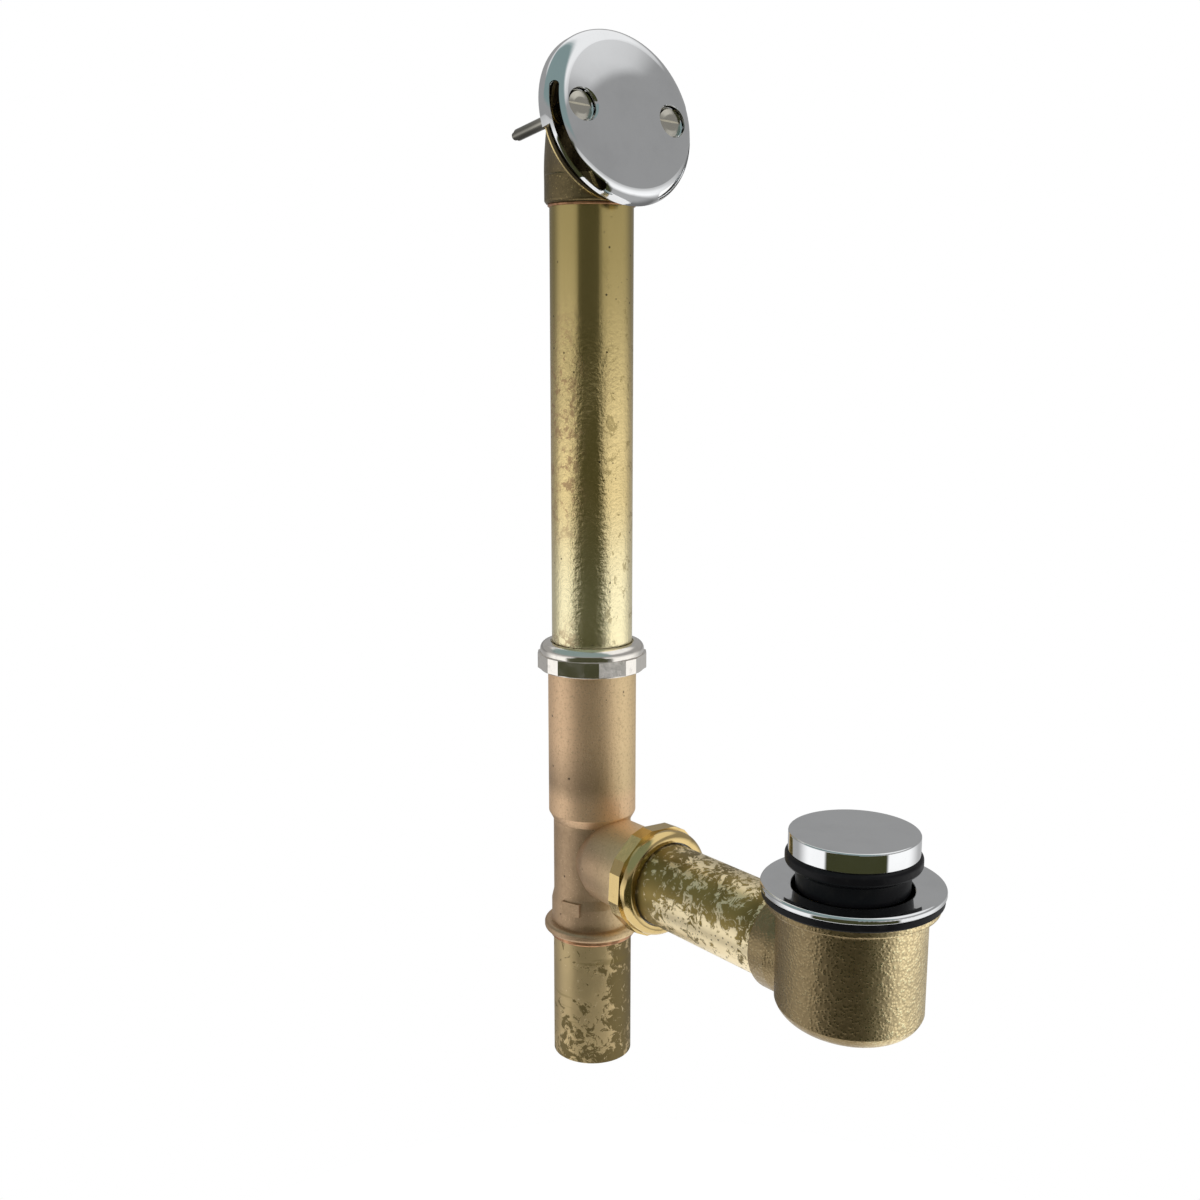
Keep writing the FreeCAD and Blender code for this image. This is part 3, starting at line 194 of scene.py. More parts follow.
class FinishSettings(bpy.types.PropertyGroup):
    """Colours of the metals, rubbers and plastics."""

    chrome: tint("Chrome", "Plate, flange and cap", (0.80, 0.81, 0.82))
    brass: tint("Brass", "Clean drawn brass of the overflow tube", (0.85, 0.67, 0.32))
    # The tube's paler foot is a painted highlight and its browner head a painted shade
    foot_highlight: tint("Pale foot", "Paler lower end of the overflow tube", (1.0, 0.92, 0.60))
    head_shade: tint("Brown head", "Browner upper end of the overflow tube", (0.46, 0.36, 0.135))
    tube_pits: tint("Tube pits", "Pits on the tube's clean side", (0.16, 0.12, 0.05))
    tube_specks: tint("Tube specks", "Dark specks all over the tube", (0.05, 0.035, 0.015))
    old_brass: tint("Old brass", "Dull brass of the tailpiece", (0.52, 0.40, 0.21))
    pale_brass: tint("Pale brass", "Rubbed and blotched spots of the waste arm", (0.90, 0.76, 0.48))
    arm_pits: tint("Arm pits", "Pits low at the arm's far end", (0.11, 0.08, 0.035))
    olive: tint("Olive tarnish", "Dark tarnish on the arm and tailpiece", (0.14, 0.105, 0.035))
    rust: tint("Brown stain", "Pink-brown stains on the overflow tube", (0.40, 0.24, 0.13))
    casting: tint("Tee", "Shot-blasted bronze of the tee", (0.55, 0.385, 0.24))
    elbow: tint("Elbow", "Dark skin of the overflow elbow", (0.17, 0.13, 0.065))
    shoe: tint("Shoe", "Sand-cast brass of the drain shoe", (0.97, 0.79, 0.45))
    # The shoe's darker, browner side is a painted shade
    shoe_shaded_side: tint("Shoe shaded side", "Browner side of the drain shoe", (0.225, 0.16, 0.08))
    braze: tint("Braze", "Coppery brazed rings", (0.62, 0.33, 0.18))
    nickel: tint("White nut", "Plated slip nut of the overflow tube", (0.86, 0.82, 0.76))
    yellow: tint("Yellow nut", "Passivated slip nut of the arm", (0.70, 0.52, 0.23))
    screw: tint("Screws", "Face screws of the plate", (0.74, 0.71, 0.62))
    machined: tint("Turned brass", "Turned parts of the stopper", (0.76, 0.64, 0.36))
    steel: tint("Spring", "Spring wire", (0.62, 0.62, 0.64))
    rubber: tint("Rubber", "Gasket, washers and seal", (0.005, 0.005, 0.006))
    rubber_dust: tint("Rubber dust", "Dust on the gasket, washers and seal", (0.01, 0.01, 0.01))
    plastic: tint("Plastic", "Friction rings, bush and latch ring", (0.78, 0.78, 0.74))


class StageSettings(bpy.types.PropertyGroup):
    """Floor and camera."""

    floor_height: bpy.props.FloatProperty(
        name="Floor height",
        description="Height of the floor under the hanging waste",
        unit="LENGTH",
        default=-0.25,
    )
    floor_radius: bpy.props.FloatProperty(
        name="Floor radius",
        description="Radius of the round floor",
        unit="LENGTH",
        min=0.1,
        default=0.4,
    )
    floor_colour: tint("Floor", "Colour of the round floor", (0.95, 0.95, 0.95))
    lens: bpy.props.FloatProperty(
        name="Lens",
        description="Focal length of the camera in millimetres",
        min=10.0,
        default=LENS,
    )


# Node wiring


class Web:
    """Short calls for wiring a node tree."""

    def __init__(self, tree):
        self.tree = tree

    def node(self, kind, **values):
        """Add a node and set its inputs by name."""
        made = self.tree.nodes.new(kind)
        for name, value in values.items():
            self.feed(made, name, value)
        return made

    def feed(self, made, key, value):
        """Give an input a constant or a link."""
        socket = made.inputs[key]
        if isinstance(value, bpy.types.NodeSocket):
            self.tree.links.new(value, socket)
        else:
            socket.default_value = value

    def fill(self, made, *values):
        """Give a node's first inputs their values and return its first output."""
        for index, value in enumerate(values):
            self.feed(made, index, value)
        return made.outputs[0]

    def math(self, operation, *values):
        """One arithmetic step."""
        made = self.tree.nodes.new("ShaderNodeMath")
        made.operation = operation
        return self.fill(made, *values)

    def product(self, first, *others):
        """Multiply several values."""
        for value in others:
            first = self.math("MULTIPLY", first, value)
        return first

    def total(self, *parts):
        """Add up values, each with its own weight."""
        whole = 0.0
        for value, weight in parts:
            whole = self.math("MULTIPLY_ADD", value, weight, whole)
        return whole

    def ramp(self, factor, low, high, start=0.0, end=1.0):
        """Turn one range of values smoothly into another."""
        made = self.tree.nodes.new("ShaderNodeMapRange")
        made.interpolation_type = "SMOOTHSTEP"
        return self.fill(made, factor, low, high, start, end)

    def band(self, factor, low, high, soft):
        """One inside a range of values and zero outside it, with soft edges."""
        rise = self.ramp(factor, low - soft, low + soft)
        fall = self.ramp(factor, high + soft, high - soft)
        return self.product(rise, fall)

    def mix(self, factor, first, second, blend="MIX"):
        """Blend two colours."""
        made = self.tree.nodes.new("ShaderNodeMix")
        made.data_type = "RGBA"
        made.blend_type = blend
        self.feed(made, 0, factor)
        self.feed(made, 6, colour(first))
        self.feed(made, 7, colour(second))
        return made.outputs[2]

    def either(self, share, first, second):
        """Blend two shaders."""
        return self.fill(self.tree.nodes.new("ShaderNodeMixShader"), share, first, second)

    def place(self):
        """Position in the part's own frame."""
        return self.tree.nodes.new("ShaderNodeTexCoord").outputs["Object"]

    def along(self, vector, direction):
        """Distance along a direction."""
        made = self.tree.nodes.new("ShaderNodeVectorMath")
        made.operation = "DOT_PRODUCT"
        self.fill(made, vector, direction)
        return made.outputs["Value"]

    def stretched(self, vector, scale):
        """Stretch a position before a texture."""
        return self.node("ShaderNodeMapping", Vector=vector, Scale=scale).outputs[0]

    def bent(self, vector, size, reach):
        """Shift a position by noise, as far as the given reach, so that a texture on it bends."""
        noise = self.node("ShaderNodeTexNoise", Vector=vector, Scale=1.0 / size, Detail=4.0)
        made = self.tree.nodes.new("ShaderNodeVectorMath")
        made.operation = "MULTIPLY_ADD"
        return self.fill(made, noise.outputs["Color"], (reach, reach, reach), vector)

    def grain(self, vector, size, detail=4.0, rough=0.55, twist=0.0):
        """Noise whose features are about the given size in metres."""
        made = self.node(
            "ShaderNodeTexNoise",
            Vector=vector,
            Scale=1.0 / size,
            Detail=detail,
            Roughness=rough,
            Distortion=twist,
        )
        return made.outputs["Fac"]

    def cells(self, vector, size, feature="F1"):
        """Distance to scattered points, or to the edges between them."""
        made = self.node("ShaderNodeTexVoronoi", Vector=vector, Scale=1.0 / size)
        made.feature = feature
        return made.outputs["Distance"]

    def bump(self, height, strength, distance, normal=None):
        """A bump from a height, over another bump where one is given."""
        made = self.node("ShaderNodeBump", Height=height, Strength=strength, Distance=distance)
        if normal is not None:
            self.feed(made, "Normal", normal)
        return made.outputs[0]


def colour(value):
    """A colour with full opacity, or the link as it came."""
    if isinstance(value, bpy.types.NodeSocket):
        return value
    return (value[0], value[1], value[2], 1.0)


def shade(value, factor):
    """The same colour, darker or lighter."""
    return tuple(min(part * factor, 1.0) for part in value)


def material(name, metallic=1.0):
    """A new material with its node web and shader."""
    made = bpy.data.materials.new(name)
    made.use_nodes = True
    shader = made.node_tree.nodes["Principled BSDF"]
    shader.inputs["Metallic"].default_value = metallic
    return made, Web(made.node_tree), shader


# Pieces of the CAD model


def dress(names, finish):
    """Give CAD nodes a finish."""
    for name in names:
        mesh = NODES[name].data
        mesh.materials.clear()
        mesh.materials.append(finish)


def highest_along(node, direction):
    """How far a node's mesh reaches along a direction."""
    way = Vector(direction)
    return max(point.co.dot(way) for point in NODES[node].data.vertices)


# Front of the elbow's rim, just behind the plate
RIM_DEPTH = highest_along("overflow_elbow", PLATE_FACES)


def working_spring(scene):
    """A copy of the stopper's spring on its own mesh, hung on the waste's empty, with the CAD
    spring hidden.
    """
    piece = bpy.data.objects.new("working_spring", NODES["stopper_spring"].data.copy())
    scene.collection.objects.link(piece)
    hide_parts("stopper_spring")
    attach(piece, "waste")
    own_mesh(piece)


# Finishes


def chrome_finish(name, clean):
    """Polished chrome plate with the faint waviness of buffed brass under it."""
    made, web, shader = material(name)
    place = web.place()
    smear = web.grain(place, 0.012, detail=3.0)
    haze = web.grain(place, 0.02, detail=5.0, rough=0.6)
    wave = web.grain(place, 0.02, detail=1.0)
    base = web.mix(web.ramp(haze, 0.4, 0.8), clean, shade(clean, 0.93))
    web.feed(shader, "Base Color", base)
    web.feed(shader, "Roughness", web.ramp(smear, 0.35, 0.75, start=0.03, end=0.085))
    web.feed(shader, "Normal", web.bump(wave, strength=0.05, distance=0.0006))
    return made


def polished_tube_finish(name, look):
    """Polished drawn brass with draw lines, brown stains on one side and pits on the other."""
    made, web, shader = material(name)
    place = web.place()
    height = web.along(place, UP)
    side = web.along(place, CLEAN_AND_LIT_SIDE)
    lines = web.grain(web.stretched(place, (1.0, 1.0, 0.012)), 0.0012, detail=3.0)
    cloud = web.grain(web.stretched(place, (1.0, 1.0, 0.3)), 0.02)
    base = web.mix(web.ramp(cloud, 0.35, 0.75), look.brass, shade(look.brass, 0.86))
    base = web.mix(web.ramp(lines, 0.45, 0.75, end=0.3), base, shade(look.brass, 0.72))
    # Paler towards the foot, a painted highlight, and darker and browner towards the head, a
    # painted shade
    base = web.mix(web.ramp(height, *TUBE_FOOT_HIGHLIGHT_FADE, end=0.8), base, look.foot_highlight)
    base = web.mix(web.ramp(height, *TUBE_HEAD_SHADE_FADE, end=0.85), base, look.head_shade)

    broken = web.grain(place, 0.0055, detail=9.0, rough=0.80, twist=0.3)
    brown_side = web.ramp(side, *TUBE_BROWN_SIDE_FADE)
    belt = web.band(height, *TUBE_STAIN_BELT, TUBE_STAIN_SOFT)
    stained = web.math("MAXIMUM", belt, web.ramp(height, *TUBE_FOOT_STAIN_FADE))
    brown = web.product(web.ramp(broken, 0.49, 0.57), brown_side, stained, 0.75)
    base = web.mix(brown, base, look.rust)

    clean_side = web.ramp(side, *TUBE_CLEAN_SIDE_FADE)
    spots = web.grain(place, 0.009, detail=8.0, rough=0.72, twist=0.4)
    belt = web.band(height, *TUBE_GREEN_BELT, TUBE_BELT_SOFT)
    green = web.product(web.ramp(spots, 0.56, 0.60), clean_side, belt, 0.6)
    base = web.mix(green, base, shade(look.olive, 2.0))

    crowd = web.ramp(web.grain(place, 0.012, detail=2.0), 0.52, 0.60)
    pit = web.product(web.ramp(web.cells(place, 0.0034), 0.20, 0.10), crowd, clean_side)
    base = web.mix(web.product(pit, 0.8), base, look.tube_pits)
    few = web.ramp(web.grain(place, 0.015, detail=1.0), 0.42, 0.46)
    speck = web.product(web.ramp(web.cells(place, 0.0075), 0.085, 0.05), few)
    base = web.mix(web.product(speck, 0.9), base, look.tube_specks)
    web.feed(shader, "Base Color", base)

    worn = web.math("MAXIMUM", brown, green)
    haze = web.ramp(cloud, 0.3, 0.7, start=0.17, end=0.25)
    web.feed(shader, "Roughness", web.total((haze, 1.0), (worn, 0.2)))

    belt = web.band(height, *TUBE_RUBBED_BELT, TUBE_BELT_SOFT)
    rubbed = web.product(belt, web.ramp(cloud, 0.3, 0.6, start=0.45))
    peel = web.product(web.grain(place, 0.0021, rough=0.6), rubbed)
    fine = web.bump(lines, strength=0.10, distance=0.0002)
    sunk = web.bump(web.product(pit, -1.0), strength=0.4, distance=0.0002, normal=fine)
    web.feed(shader, "Normal", web.bump(peel, strength=0.45, distance=0.0007, normal=sunk))
    return made


def tailpiece_finish(name, look):
    """Old drawn brass: dull yellow-brown with olive patches, ring stains and fine spots."""
    made, web, shader = material(name)
    place = web.place()
    height = web.along(place, UP)
    side = web.along(place, CLEAN_AND_LIT_SIDE)
    cloud = web.grain(place, 0.03, detail=3.0, rough=0.5)
    broken = web.grain(place, 0.0062, detail=9.0, rough=0.72, twist=0.8)
    lean = web.ramp(side, *TAILPIECE_OLIVE_SIDE_FADE, start=-0.045, end=0.065)
    low = web.ramp(height, *TAILPIECE_OLIVE_FOOT_FADE, start=-0.01, end=0.03)
    amount = web.total((broken, 0.75), (cloud, 0.3), (lean, 1.0), (low, 1.0))
    patch = web.ramp(amount, 0.525, 0.545)
    hoops = web.grain(web.stretched(place, (0.12, 0.12, 1.0)), 0.006, rough=0.6, twist=0.3)
    fleck = web.grain(place, 0.0028, detail=5.0, rough=0.7)
    base = web.mix(web.ramp(cloud, 0.35, 0.7), look.old_brass, shade(look.old_brass, 1.25))
    base = web.mix(web.product(patch, 0.85), base, look.olive)
    base = web.mix(web.ramp(hoops, 0.58, 0.66, end=0.45), base, shade(look.olive, 1.6))
    base = web.mix(web.ramp(fleck, 0.62, 0.68, end=0.6), base, look.pale_brass)
    web.feed(shader, "Base Color", base)
    web.feed(shader, "Roughness", web.total((patch, 0.12), (fleck, 0.2), (0.32, 1.0)))
    relief = web.total((patch, -0.4), (fleck, 0.4))
    web.feed(shader, "Normal", web.bump(relief, strength=0.35, distance=0.0003))
    return made


def arm_finish(name, look):
    """Old drawn brass: olive-brown skin with a net of pale spots, and pits low at its far end."""
    made, web, shader = material(name)
    place = web.place()
    reach = web.along(place, TO_DRAIN)
    height = web.along(place, UP)
    cloud = web.grain(place, 0.02, detail=3.0, rough=0.5)
    net = web.cells(web.bent(place, 0.00625, reach=0.004), 0.006, "DISTANCE_TO_EDGE")
    specks = web.grain(place, 0.0052, detail=9.0, rough=0.74, twist=1.2)
    skin = web.mix(web.ramp(cloud, 0.35, 0.65), shade(look.olive, 1.5), shade(look.olive, 2.4))
    # Pale spots gather on the crest and under the far end and thin out at the near end; on the
    # crest and underside the extra spots are painted highlight over the real ones
    crest_highlight = web.ramp(height, *ARM_CREST_HIGHLIGHT_FADE)
    far = web.product(web.ramp(reach, *ARM_FAR_FADE), web.ramp(height, *ARM_UNDERSIDE_FADE))
    near = web.ramp(reach, *ARM_NEAR_FADE)
    spread_and_highlight = web.total((crest_highlight, 0.16), (far, 0.42), (near, -0.14), (cloud, 0.5))
    cover = web.total((specks, 1.0), (net, 0.25), (spread_and_highlight, 0.4))
    bare_spots_and_shank_shade = web.ramp(cover, 0.695, 0.73)
    pits = web.product(web.ramp(web.cells(place, 0.0026), 0.24, 0.12), far)
    base = web.mix(bare_spots_and_shank_shade, skin, look.pale_brass)
    base = web.mix(web.product(pits, 0.85), base, look.arm_pits)
    web.feed(shader, "Base Color", base)
    web.feed(shader, "Roughness", web.ramp(bare_spots_and_shank_shade, 0.0, 1.0, start=0.44, end=0.34))
    relief = web.total((bare_spots_and_shank_shade, 0.4), (pits, -1.0), (specks, 0.3))
    web.feed(shader, "Normal", web.bump(relief, strength=0.35, distance=0.0003))
    return made


def blasted_finish(name, main, upper):
    """Shot-blasted bronze: fine even grain, a yellower side and scattered blow holes."""
    made, web, shader = material(name)
    place = web.place()
    height = web.along(place, UP)
    side = web.along(place, CLEAN_AND_LIT_SIDE)
    cloud = web.grain(place, 0.03, rough=0.6)
    base = web.mix(web.ramp(cloud, 0.35, 0.7), main, shade(main, 0.80))
    base = web.mix(web.ramp(height, *TEE_SLEEVE_FADE), base, upper)
    yellow = (upper[0], upper[1] * 1.12, upper[2] * 1.02)
    base = web.mix(web.ramp(side, *TEE_YELLOW_SIDE_FADE, end=0.8), base, yellow)
    # A lighter belt round the neck: painted highlight
    neck_highlight = web.band(height, *TEE_NECK_HIGHLIGHT_BELT, TEE_NECK_HIGHLIGHT_SOFT)
    base = web.mix(web.product(neck_highlight, 0.7), base, shade(main, 1.7))
    speck = web.grain(place, 0.0012, detail=3.0, rough=0.7)
    base = web.mix(web.ramp(speck, 0.5, 0.72, end=0.4), base, shade(main, 0.7))
    glint = web.ramp(web.grain(place, 0.0007, detail=2.0), 0.66, 0.72, end=0.6)
    base = web.mix(glint, base, shade(upper, 1.3))
    holes = web.ramp(web.cells(place, 0.006), 0.12, 0.06)
    hole = web.product(holes, web.ramp(web.grain(place, 0.01, detail=1.0), 0.5, 0.6))
    base = web.mix(hole, base, shade(main, 0.28))
    web.feed(shader, "Base Color", base)
    web.feed(shader, "Roughness", web.ramp(speck, 0.3, 0.7, start=0.42, end=0.55))
    wavy = web.bump(cloud, strength=0.2, distance=0.0015)
    blast = web.total((web.grain(place, 0.0009, rough=0.65), 1.0), (hole, -1.5))
    web.feed(shader, "Normal", web.bump(blast, strength=0.45, distance=0.0003, normal=wavy))
    return made


def elbow_finish(name, skin, highlight_brass):
    """Dark cast elbow with a fine skin, a painted highlight line on the bare brass rim of its mouth
    and painted shadow just behind it.
    """
    made, web, shader = material(name)
    place = web.place()
    cloud = web.grain(place, 0.02, rough=0.6)
    base = web.mix(web.ramp(cloud, 0.35, 0.7), skin, shade(skin, 1.35))
    speck = web.grain(place, 0.0011, detail=3.0, rough=0.7)
    base = web.mix(web.ramp(speck, 0.5, 0.72, end=0.6), base, shade(skin, 0.55))
    glint = web.ramp(web.grain(place, 0.0008, detail=2.0), 0.64, 0.70, end=0.7)
    base = web.mix(glint, base, shade(highlight_brass, 0.8))
    depth = web.along(place, PLATE_FACES)
    # Darker just behind the rim, in the gap under the plate: painted shadow
    mouth_shadow = web.ramp(depth, *(RIM_DEPTH - back for back in MOUTH_SHADOW_FADE), end=0.85)
    base = web.mix(mouth_shadow, base, shade(skin, 0.2))
    # A thin, lighter and glossier line on the rim's bare brass: painted highlight
    rim_highlight = web.band(depth, *(RIM_DEPTH - back for back in RIM_HIGHLIGHT_LINE), RIM_HIGHLIGHT_SOFT)
    base = web.mix(rim_highlight, base, highlight_brass)
    web.feed(shader, "Base Color", base)
    web.feed(shader, "Roughness", web.ramp(rim_highlight, 0.0, 1.0, start=0.38, end=0.22))
    wavy = web.bump(cloud, strength=0.2, distance=0.001)
    blast = web.grain(place, 0.0009, rough=0.65)
    web.feed(shader, "Normal", web.bump(blast, strength=0.45, distance=0.0003, normal=wavy))
    return made


def sand_cast_finish(name, main, darker_tone):
    """Coarse sand casting: pebbled skin with glittering crests, dark hollows and one side darker
    and browner, a painted shade.
    """
    made, web, shader = material(name)
    place = web.place()
    side = web.along(place, CLEAN_AND_LIT_SIDE)
    cloud = web.grain(place, 0.03, detail=3.0)
    pebble = web.ramp(web.cells(place, 0.0013), 0.15, 0.75, start=0.70, end=0.30)
    coarse = web.grain(place, 0.0030, detail=3.0, rough=0.6)
    skin = web.total((pebble, 0.6), (coarse, 0.4))
    base = web.mix(web.ramp(cloud, 0.35, 0.7), main, shade(main, 0.85))
    base = web.mix(web.ramp(skin, 0.48, 0.36, end=0.5), base, shade(main, 0.45))
    base = web.mix(web.ramp(skin, 0.56, 0.64, end=0.5), base, shade(main, 1.4))
    # Darker and browner on one side: painted shade
    base = web.mix(web.ramp(side, *SHOE_SHADED_SIDE_FADE, end=0.88), base, darker_tone)
    web.feed(shader, "Base Color", base)
    web.feed(shader, "Roughness", web.ramp(pebble, 0.35, 0.7, start=0.38, end=0.26))
    relief = web.total((pebble, 1.0), (coarse, 1.3))
    web.feed(shader, "Normal", web.bump(relief, strength=0.5, distance=0.0004))
    return made


def plated_finish(name, clean, darker_tone, shaded_from=None):
    """Smooth plating with soft wear, and painted shade past a depth behind the plate where one is
    given.
    """
    made, web, shader = material(name)
    place = web.place()
    smear = web.grain(place, 0.006, detail=5.0, rough=0.6)
    base = web.mix(web.ramp(smear, 0.55, 0.80, end=0.7), clean, darker_tone)
    if shaded_from is not None:
        # The shank past that depth, between plate and elbow, darkens: painted shade
        depth = web.along(place, PLATE_FACES)
        bare_spots_and_shank_shade = web.ramp(depth, shaded_from, shaded_from - SHADED_SHANK, start=0.3, end=0.85)
        base = web.mix(bare_spots_and_shank_shade, base, shade(darker_tone, 0.3))
    web.feed(shader, "Base Color", base)
    web.feed(shader, "Roughness", web.ramp(smear, 0.3, 0.7, start=0.11, end=0.19))
    wave = web.grain(place, 0.004, detail=3.0)
    web.feed(shader, "Normal", web.bump(wave, strength=0.10, distance=0.0004))
    return made


def braze_finish(name, copper):
    """Lumpy coppery braze with a brown skin."""
    made, web, shader = material(name)
    lump = web.grain(web.place(), 0.004)
    base = web.mix(web.ramp(lump, 0.4, 0.65), copper, shade(copper, 0.5))
    web.feed(shader, "Base Color", base)
    web.feed(shader, "Roughness", web.ramp(lump, 0.35, 0.65, start=0.28, end=0.45))
    web.feed(shader, "Normal", web.bump(lump, strength=0.6, distance=0.0006))
    return made


def turned_finish(name, clean):
    """Turned metal with fine tool rings."""
    made, web, shader = material(name)
    rings = web.grain(web.stretched(web.place(), (0.05, 0.05, 1.0)), 0.0008, detail=2.0)
    web.feed(shader, "Base Color", web.mix(rings, clean, shade(clean, 0.8)))
    web.feed(shader, "Roughness", web.ramp(rings, 0.3, 0.7, start=0.22, end=0.34))
    web.feed(shader, "Normal", web.bump(rings, strength=0.2, distance=0.0001))
    return made


def moulded_finish(name, main, dusty, roughness, gloss):
    """Moulded rubber or plastic with a little dust."""
    made, web, shader = material(name, metallic=0.0)
    web.feed(shader, "Specular IOR Level", gloss)
    dust = web.grain(web.place(), 0.004, detail=5.0)
    web.feed(shader, "Base Color", web.mix(web.ramp(dust, 0.5, 0.8), main, dusty))
    dull = web.ramp(dust, 0.3, 0.7, start=roughness - 0.05, end=roughness + 0.09)
    web.feed(shader, "Roughness", dull)
    web.feed(shader, "Normal", web.bump(dust, strength=0.08, distance=0.0003))
    return made


# Stage


def pale_floor(scene, settings):
    """A round floor that reads white and keeps a soft shadow."""
    mesh = bpy.data.meshes.new("floor")
    disc = bmesh.new()
    bmesh.ops.create_circle(disc, cap_ends=True, segments=96, radius=settings.floor_radius)
    disc.to_mesh(mesh)
    disc.free()
    floor = bpy.data.objects.new("floor", mesh)
    floor.location = (MIDDLE[0], MIDDLE[1], settings.floor_height)
    scene.collection.objects.link(floor)
    made, web, shader = material("pale_floor", metallic=0.0)
    web.feed(shader, "Base Color", colour(settings.floor_colour))
    web.feed(shader, "Roughness", 1.0)
    web.feed(shader, "Specular IOR Level", 0.0)
    mesh.materials.append(made)


def box_light(web, turn, rise):
    """Light of the soft boxes, the horizon and the ceiling, dimmer low behind the part."""
    levels = web.tree.nodes.new("ShaderNodeValToRGB")
    marks = levels.color_ramp.elements
    for index, (height, level) in enumerate(BOX_LEVELS):
        spot = (height + 1.0) / 2.0
        mark = marks[index] if index < 2 else marks.new(spot)
        mark.position = spot
        mark.color = colour([level / BRIGHTEST] * 3)
    light = web.fill(levels, web.math("MULTIPLY_ADD", rise, 0.5, 0.5))
    right = web.ramp(turn, *RIGHT_END_FADE, start=1.0, end=RIGHT_END_SHARE)
    left = web.ramp(turn, *LEFT_END_FADE, start=1.0, end=LEFT_END_SHARE)
    kept = web.math("MAXIMUM", web.product(right, left), web.ramp(rise, *BOX_TOP_FADE))
    return web.mix(1.0, light, kept, blend="MULTIPLY")


def aisle(web, turn, rise):
    """Where a ray meets the dark aisle between the boxes, which widens downwards."""
    low = web.ramp(rise, *AISLE_LOW_FADE)
    left = web.math("MULTIPLY_ADD", low, AISLE_LEFT_SPREAD, AISLE_LEFT)
    right = web.math("MULTIPLY_ADD", low, AISLE_RIGHT_SPREAD, AISLE_RIGHT)
    return web.product(
        web.ramp(web.math("ADD", turn, left), -AISLE_SOFT, AISLE_SOFT),
        web.ramp(web.math("SUBTRACT", right, turn), -AISLE_SOFT, AISLE_SOFT),
        web.ramp(rise, *AISLE_TOP_FADE),
    )


def skylight(web, ray, rise):
    """Where a ray meets the blue-green light high on one side."""
    return web.product(
        web.ramp(web.along(ray, SKYLIGHT_SIDE), *SKYLIGHT_SIDE_FADE),
        web.ramp(rise, *SKYLIGHT_RISE_FADE),
        web.ramp(web.along(ray, TO_DRAIN), *SKYLIGHT_DRAIN_FADE),
    )


def studio_light(scene):
    """A white room and two lamps; metal also shows soft boxes, an aisle and a skylight."""
    world = bpy.data.worlds.new("studio")
    scene.world = world
    world.use_nodes = True
    nodes = world.node_tree.nodes
    web = Web(world.node_tree)
    ray = nodes.new("ShaderNodeTexCoord").outputs["Generated"]
    angle = math.radians(CAMERA_TURN)
    back = web.along(ray, (math.sin(angle), -math.cos(angle), 0.0))
    across = web.along(ray, (math.cos(angle), math.sin(angle), 0.0))
    turn = web.math("ARCTAN2", across, back)
    rise = web.along(ray, UP)
    room = web.mix(aisle(web, turn, rise), box_light(web, turn, rise), AISLE_COLOUR)
    room = web.mix(skylight(web, ray, rise), room, SKYLIGHT_COLOUR)
    path = nodes.new("ShaderNodeLightPath").outputs
    backdrop = web.node("ShaderNodeBackground", Color=WHITE, Strength=1.0).outputs[0]
    plain = web.node("ShaderNodeBackground", Color=WHITE, Strength=1.0).outputs[0]
    studio = web.node("ShaderNodeBackground", Color=room, Strength=BRIGHTEST).outputs[0]
    shown = web.math("ADD", path["Is Glossy Ray"], path["Is Transmission Ray"])
    lit = web.either(shown, plain, studio)
    seen = web.either(path["Is Camera Ray"], lit, backdrop)
    web.feed(nodes["World Output"], "Surface", seen)
    for lamp in LAMPS:
        add_lamp(scene, *lamp)


def add_lamp(scene, name, place, size, power):
    """A soft square lamp that points at the middle of the waste."""
    light = bpy.data.lights.new(name, "AREA")
    light.size = size
    light.energy = power
    lamp = bpy.data.objects.new(name, light)
    lamp.location = place
    lamp.visible_glossy = False
    aim = Vector(MIDDLE) - Vector(place)
    lamp.rotation_euler = aim.to_track_quat("-Z", "Y").to_euler()
    scene.collection.objects.link(lamp)


def add_camera(scene, settings):
    """The camera at the photograph's viewing angle."""
    data = bpy.data.cameras.new("camera")
    data.sensor_width = SENSOR
    data.lens = settings.lens
    data.clip_start = CLIP_NEAR
    data.clip_end = CLIP_FAR
    camera = bpy.data.objects.new("camera", data)
    camera.location = CAMERA_PLACE
    turn = math.radians(CAMERA_TURN)
    rise = math.radians(CAMERA_RISE)
    camera.rotation_euler = (math.pi / 2 - rise, 0.0, turn)
    scene.collection.objects.link(camera)
    scene.camera = camera


# Steps


class WASTE_OT_stage(bpy.types.Operator):
    """Add the pale floor, the studio light and the camera."""

    bl_idname = "waste.stage"
    bl_label = "Stage"

    def execute(self, context):
        settings = context.scene.waste_stage
        pale_floor(context.scene, settings)
        studio_light(context.scene)
        add_camera(context.scene, settings)
        context.scene.view_settings.view_transform = "Standard"
        return {"FINISHED"}


class WASTE_OT_chrome(bpy.types.Operator):
    """Finish the overflow plate, the drain flange and the stopper cap in chrome."""

    bl_idname = "waste.chrome"
    bl_label = "Chrome pieces"

    def execute(self, context):
        look = context.scene.waste_finish
        dress(CHROME_NODES, chrome_finish("polished_chrome", look.chrome))
        return {"FINISHED"}


class WASTE_OT_tubes(bpy.types.Operator):
    """Finish the overflow tube, the waste arm and the tailpiece."""

    bl_idname = "waste.tubes"
    bl_label = "Brass tubes"

    def execute(self, context):
        look = context.scene.waste_finish
        dress(("overflow_tube",), polished_tube_finish("polished_tube", look))
        dress(("tailpiece",), tailpiece_finish("old_tailpiece", look))
        dress(("waste_arm",), arm_finish("old_arm", look))
        return {"FINISHED"}


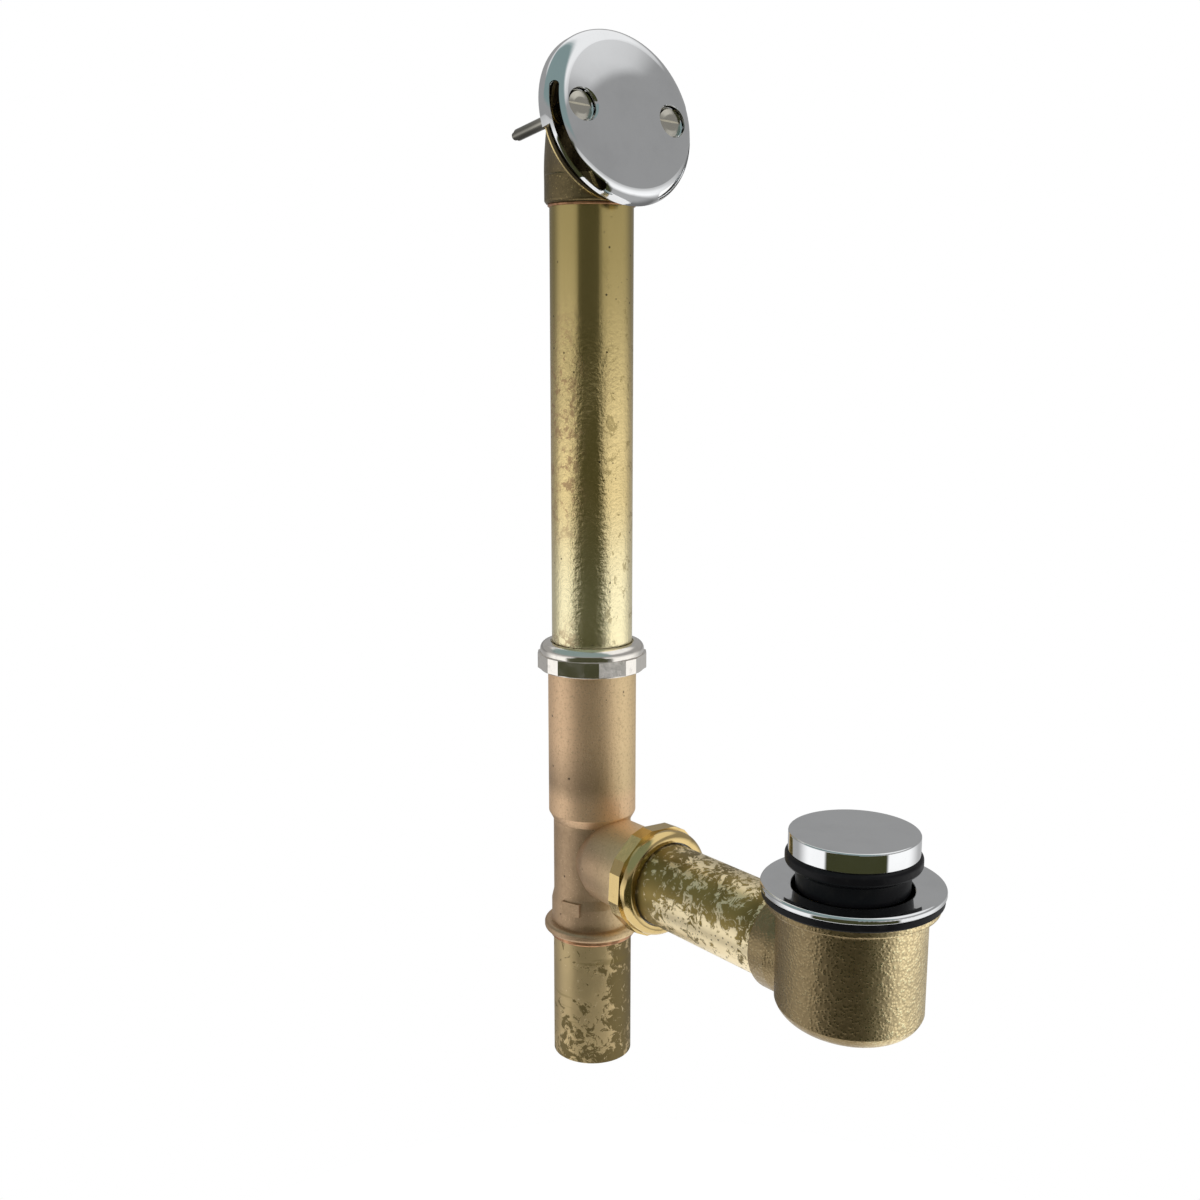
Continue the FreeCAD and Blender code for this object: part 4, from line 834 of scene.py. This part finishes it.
class WASTE_OT_castings(bpy.types.Operator):
    """Finish the tee, the overflow elbow and the drain shoe."""

    bl_idname = "waste.castings"
    bl_label = "Castings"

    def execute(self, context):
        look = context.scene.waste_finish
        upper = shade(look.casting, 1.55)
        dress(("waste_tee",), blasted_finish("blasted_tee", look.casting, upper))
        dress(("overflow_elbow",), elbow_finish("dark_elbow", look.elbow, look.brass))
        dress(("waste_shoe",), sand_cast_finish("sand_cast_shoe", look.shoe, look.shoe_shaded_side))
        return {"FINISHED"}


class WASTE_OT_nuts(bpy.types.Operator):
    """Finish the two slip nuts and the face screws."""

    bl_idname = "waste.nuts"
    bl_label = "Slip nuts and screws"

    def execute(self, context):
        look = context.scene.waste_finish
        for node, clean in (("upper_slip_nut", look.nickel), ("arm_slip_nut", look.yellow)):
            dress((node,), plated_finish(node + "_plating", clean, shade(clean, 0.6)))
        worn = shade(look.screw, 0.7)
        # The screws' shanks behind the rim get painted shade
        dress(SCREW_NODES, plated_finish("screw_plating", look.screw, worn, shaded_from=RIM_DEPTH))
        return {"FINISHED"}


class WASTE_OT_joints(bpy.types.Operator):
    """Finish the brazed rings."""

    bl_idname = "waste.joints"
    bl_label = "Brazed joints"

    def execute(self, context):
        dress(BRAZE_NODES, braze_finish("copper_braze", context.scene.waste_finish.braze))
        return {"FINISHED"}


class WASTE_OT_stopper(bpy.types.Operator):
    """Finish the stopper's mechanism, the seals and the packing."""

    bl_idname = "waste.stopper"
    bl_label = "Stopper and seals"

    def execute(self, context):
        look = context.scene.waste_finish
        dress(MACHINED_NODES, turned_finish("turned_brass", look.machined))
        dress(("stopper_spring",), turned_finish("spring_wire", look.steel))
        working_spring(context.scene)
        rubber = moulded_finish(
            "black_rubber", look.rubber, look.rubber_dust, roughness=0.34, gloss=0.12
        )
        dress(RUBBER_NODES, rubber)
        plastic = moulded_finish(
            "white_plastic", look.plastic, shade(look.plastic, 0.85), roughness=0.45, gloss=0.5
        )
        dress(PLASTIC_NODES, plastic)
        return {"FINISHED"}


class WASTE_PT_panel(bpy.types.Panel):
    """Colours, stage and steps of the waste."""

    bl_label = "Bath Waste"
    bl_idname = "WASTE_PT_panel"
    bl_space_type = "VIEW_3D"
    bl_region_type = "UI"
    bl_category = "Bath Waste"

    def draw(self, context):
        layout = self.layout
        for group in (context.scene.waste_finish, context.scene.waste_stage):
            box = layout.box()
            for name in group.bl_rna.properties.keys():
                if name not in ("rna_type", "name"):
                    box.prop(group, name)
        for step in STEPS:
            layout.operator(step.bl_idname)


STEPS = (
    WASTE_OT_stage,
    WASTE_OT_chrome,
    WASTE_OT_tubes,
    WASTE_OT_castings,
    WASTE_OT_nuts,
    WASTE_OT_joints,
    WASTE_OT_stopper,
)
CLASSES = (FinishSettings, StageSettings) + STEPS + (WASTE_PT_panel,)


def register():
    """Register the classes and the scene's settings."""
    for item in CLASSES:
        bpy.utils.register_class(item)
    bpy.types.Scene.waste_finish = bpy.props.PointerProperty(type=FinishSettings)
    bpy.types.Scene.waste_stage = bpy.props.PointerProperty(type=StageSettings)


def unregister():
    """Remove the scene's settings and the classes."""
    del bpy.types.Scene.waste_stage
    del bpy.types.Scene.waste_finish
    for item in reversed(CLASSES):
        bpy.utils.unregister_class(item)


def write_sizes():
    """Bring the view layer up to date."""
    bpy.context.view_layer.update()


def main():
    """Register the add-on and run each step."""
    register()
    for step in STEPS:
        group, name = step.bl_idname.split(".")
        getattr(getattr(bpy.ops, group), name)()
    write_sizes()


if __name__ == "__main__":
    main()
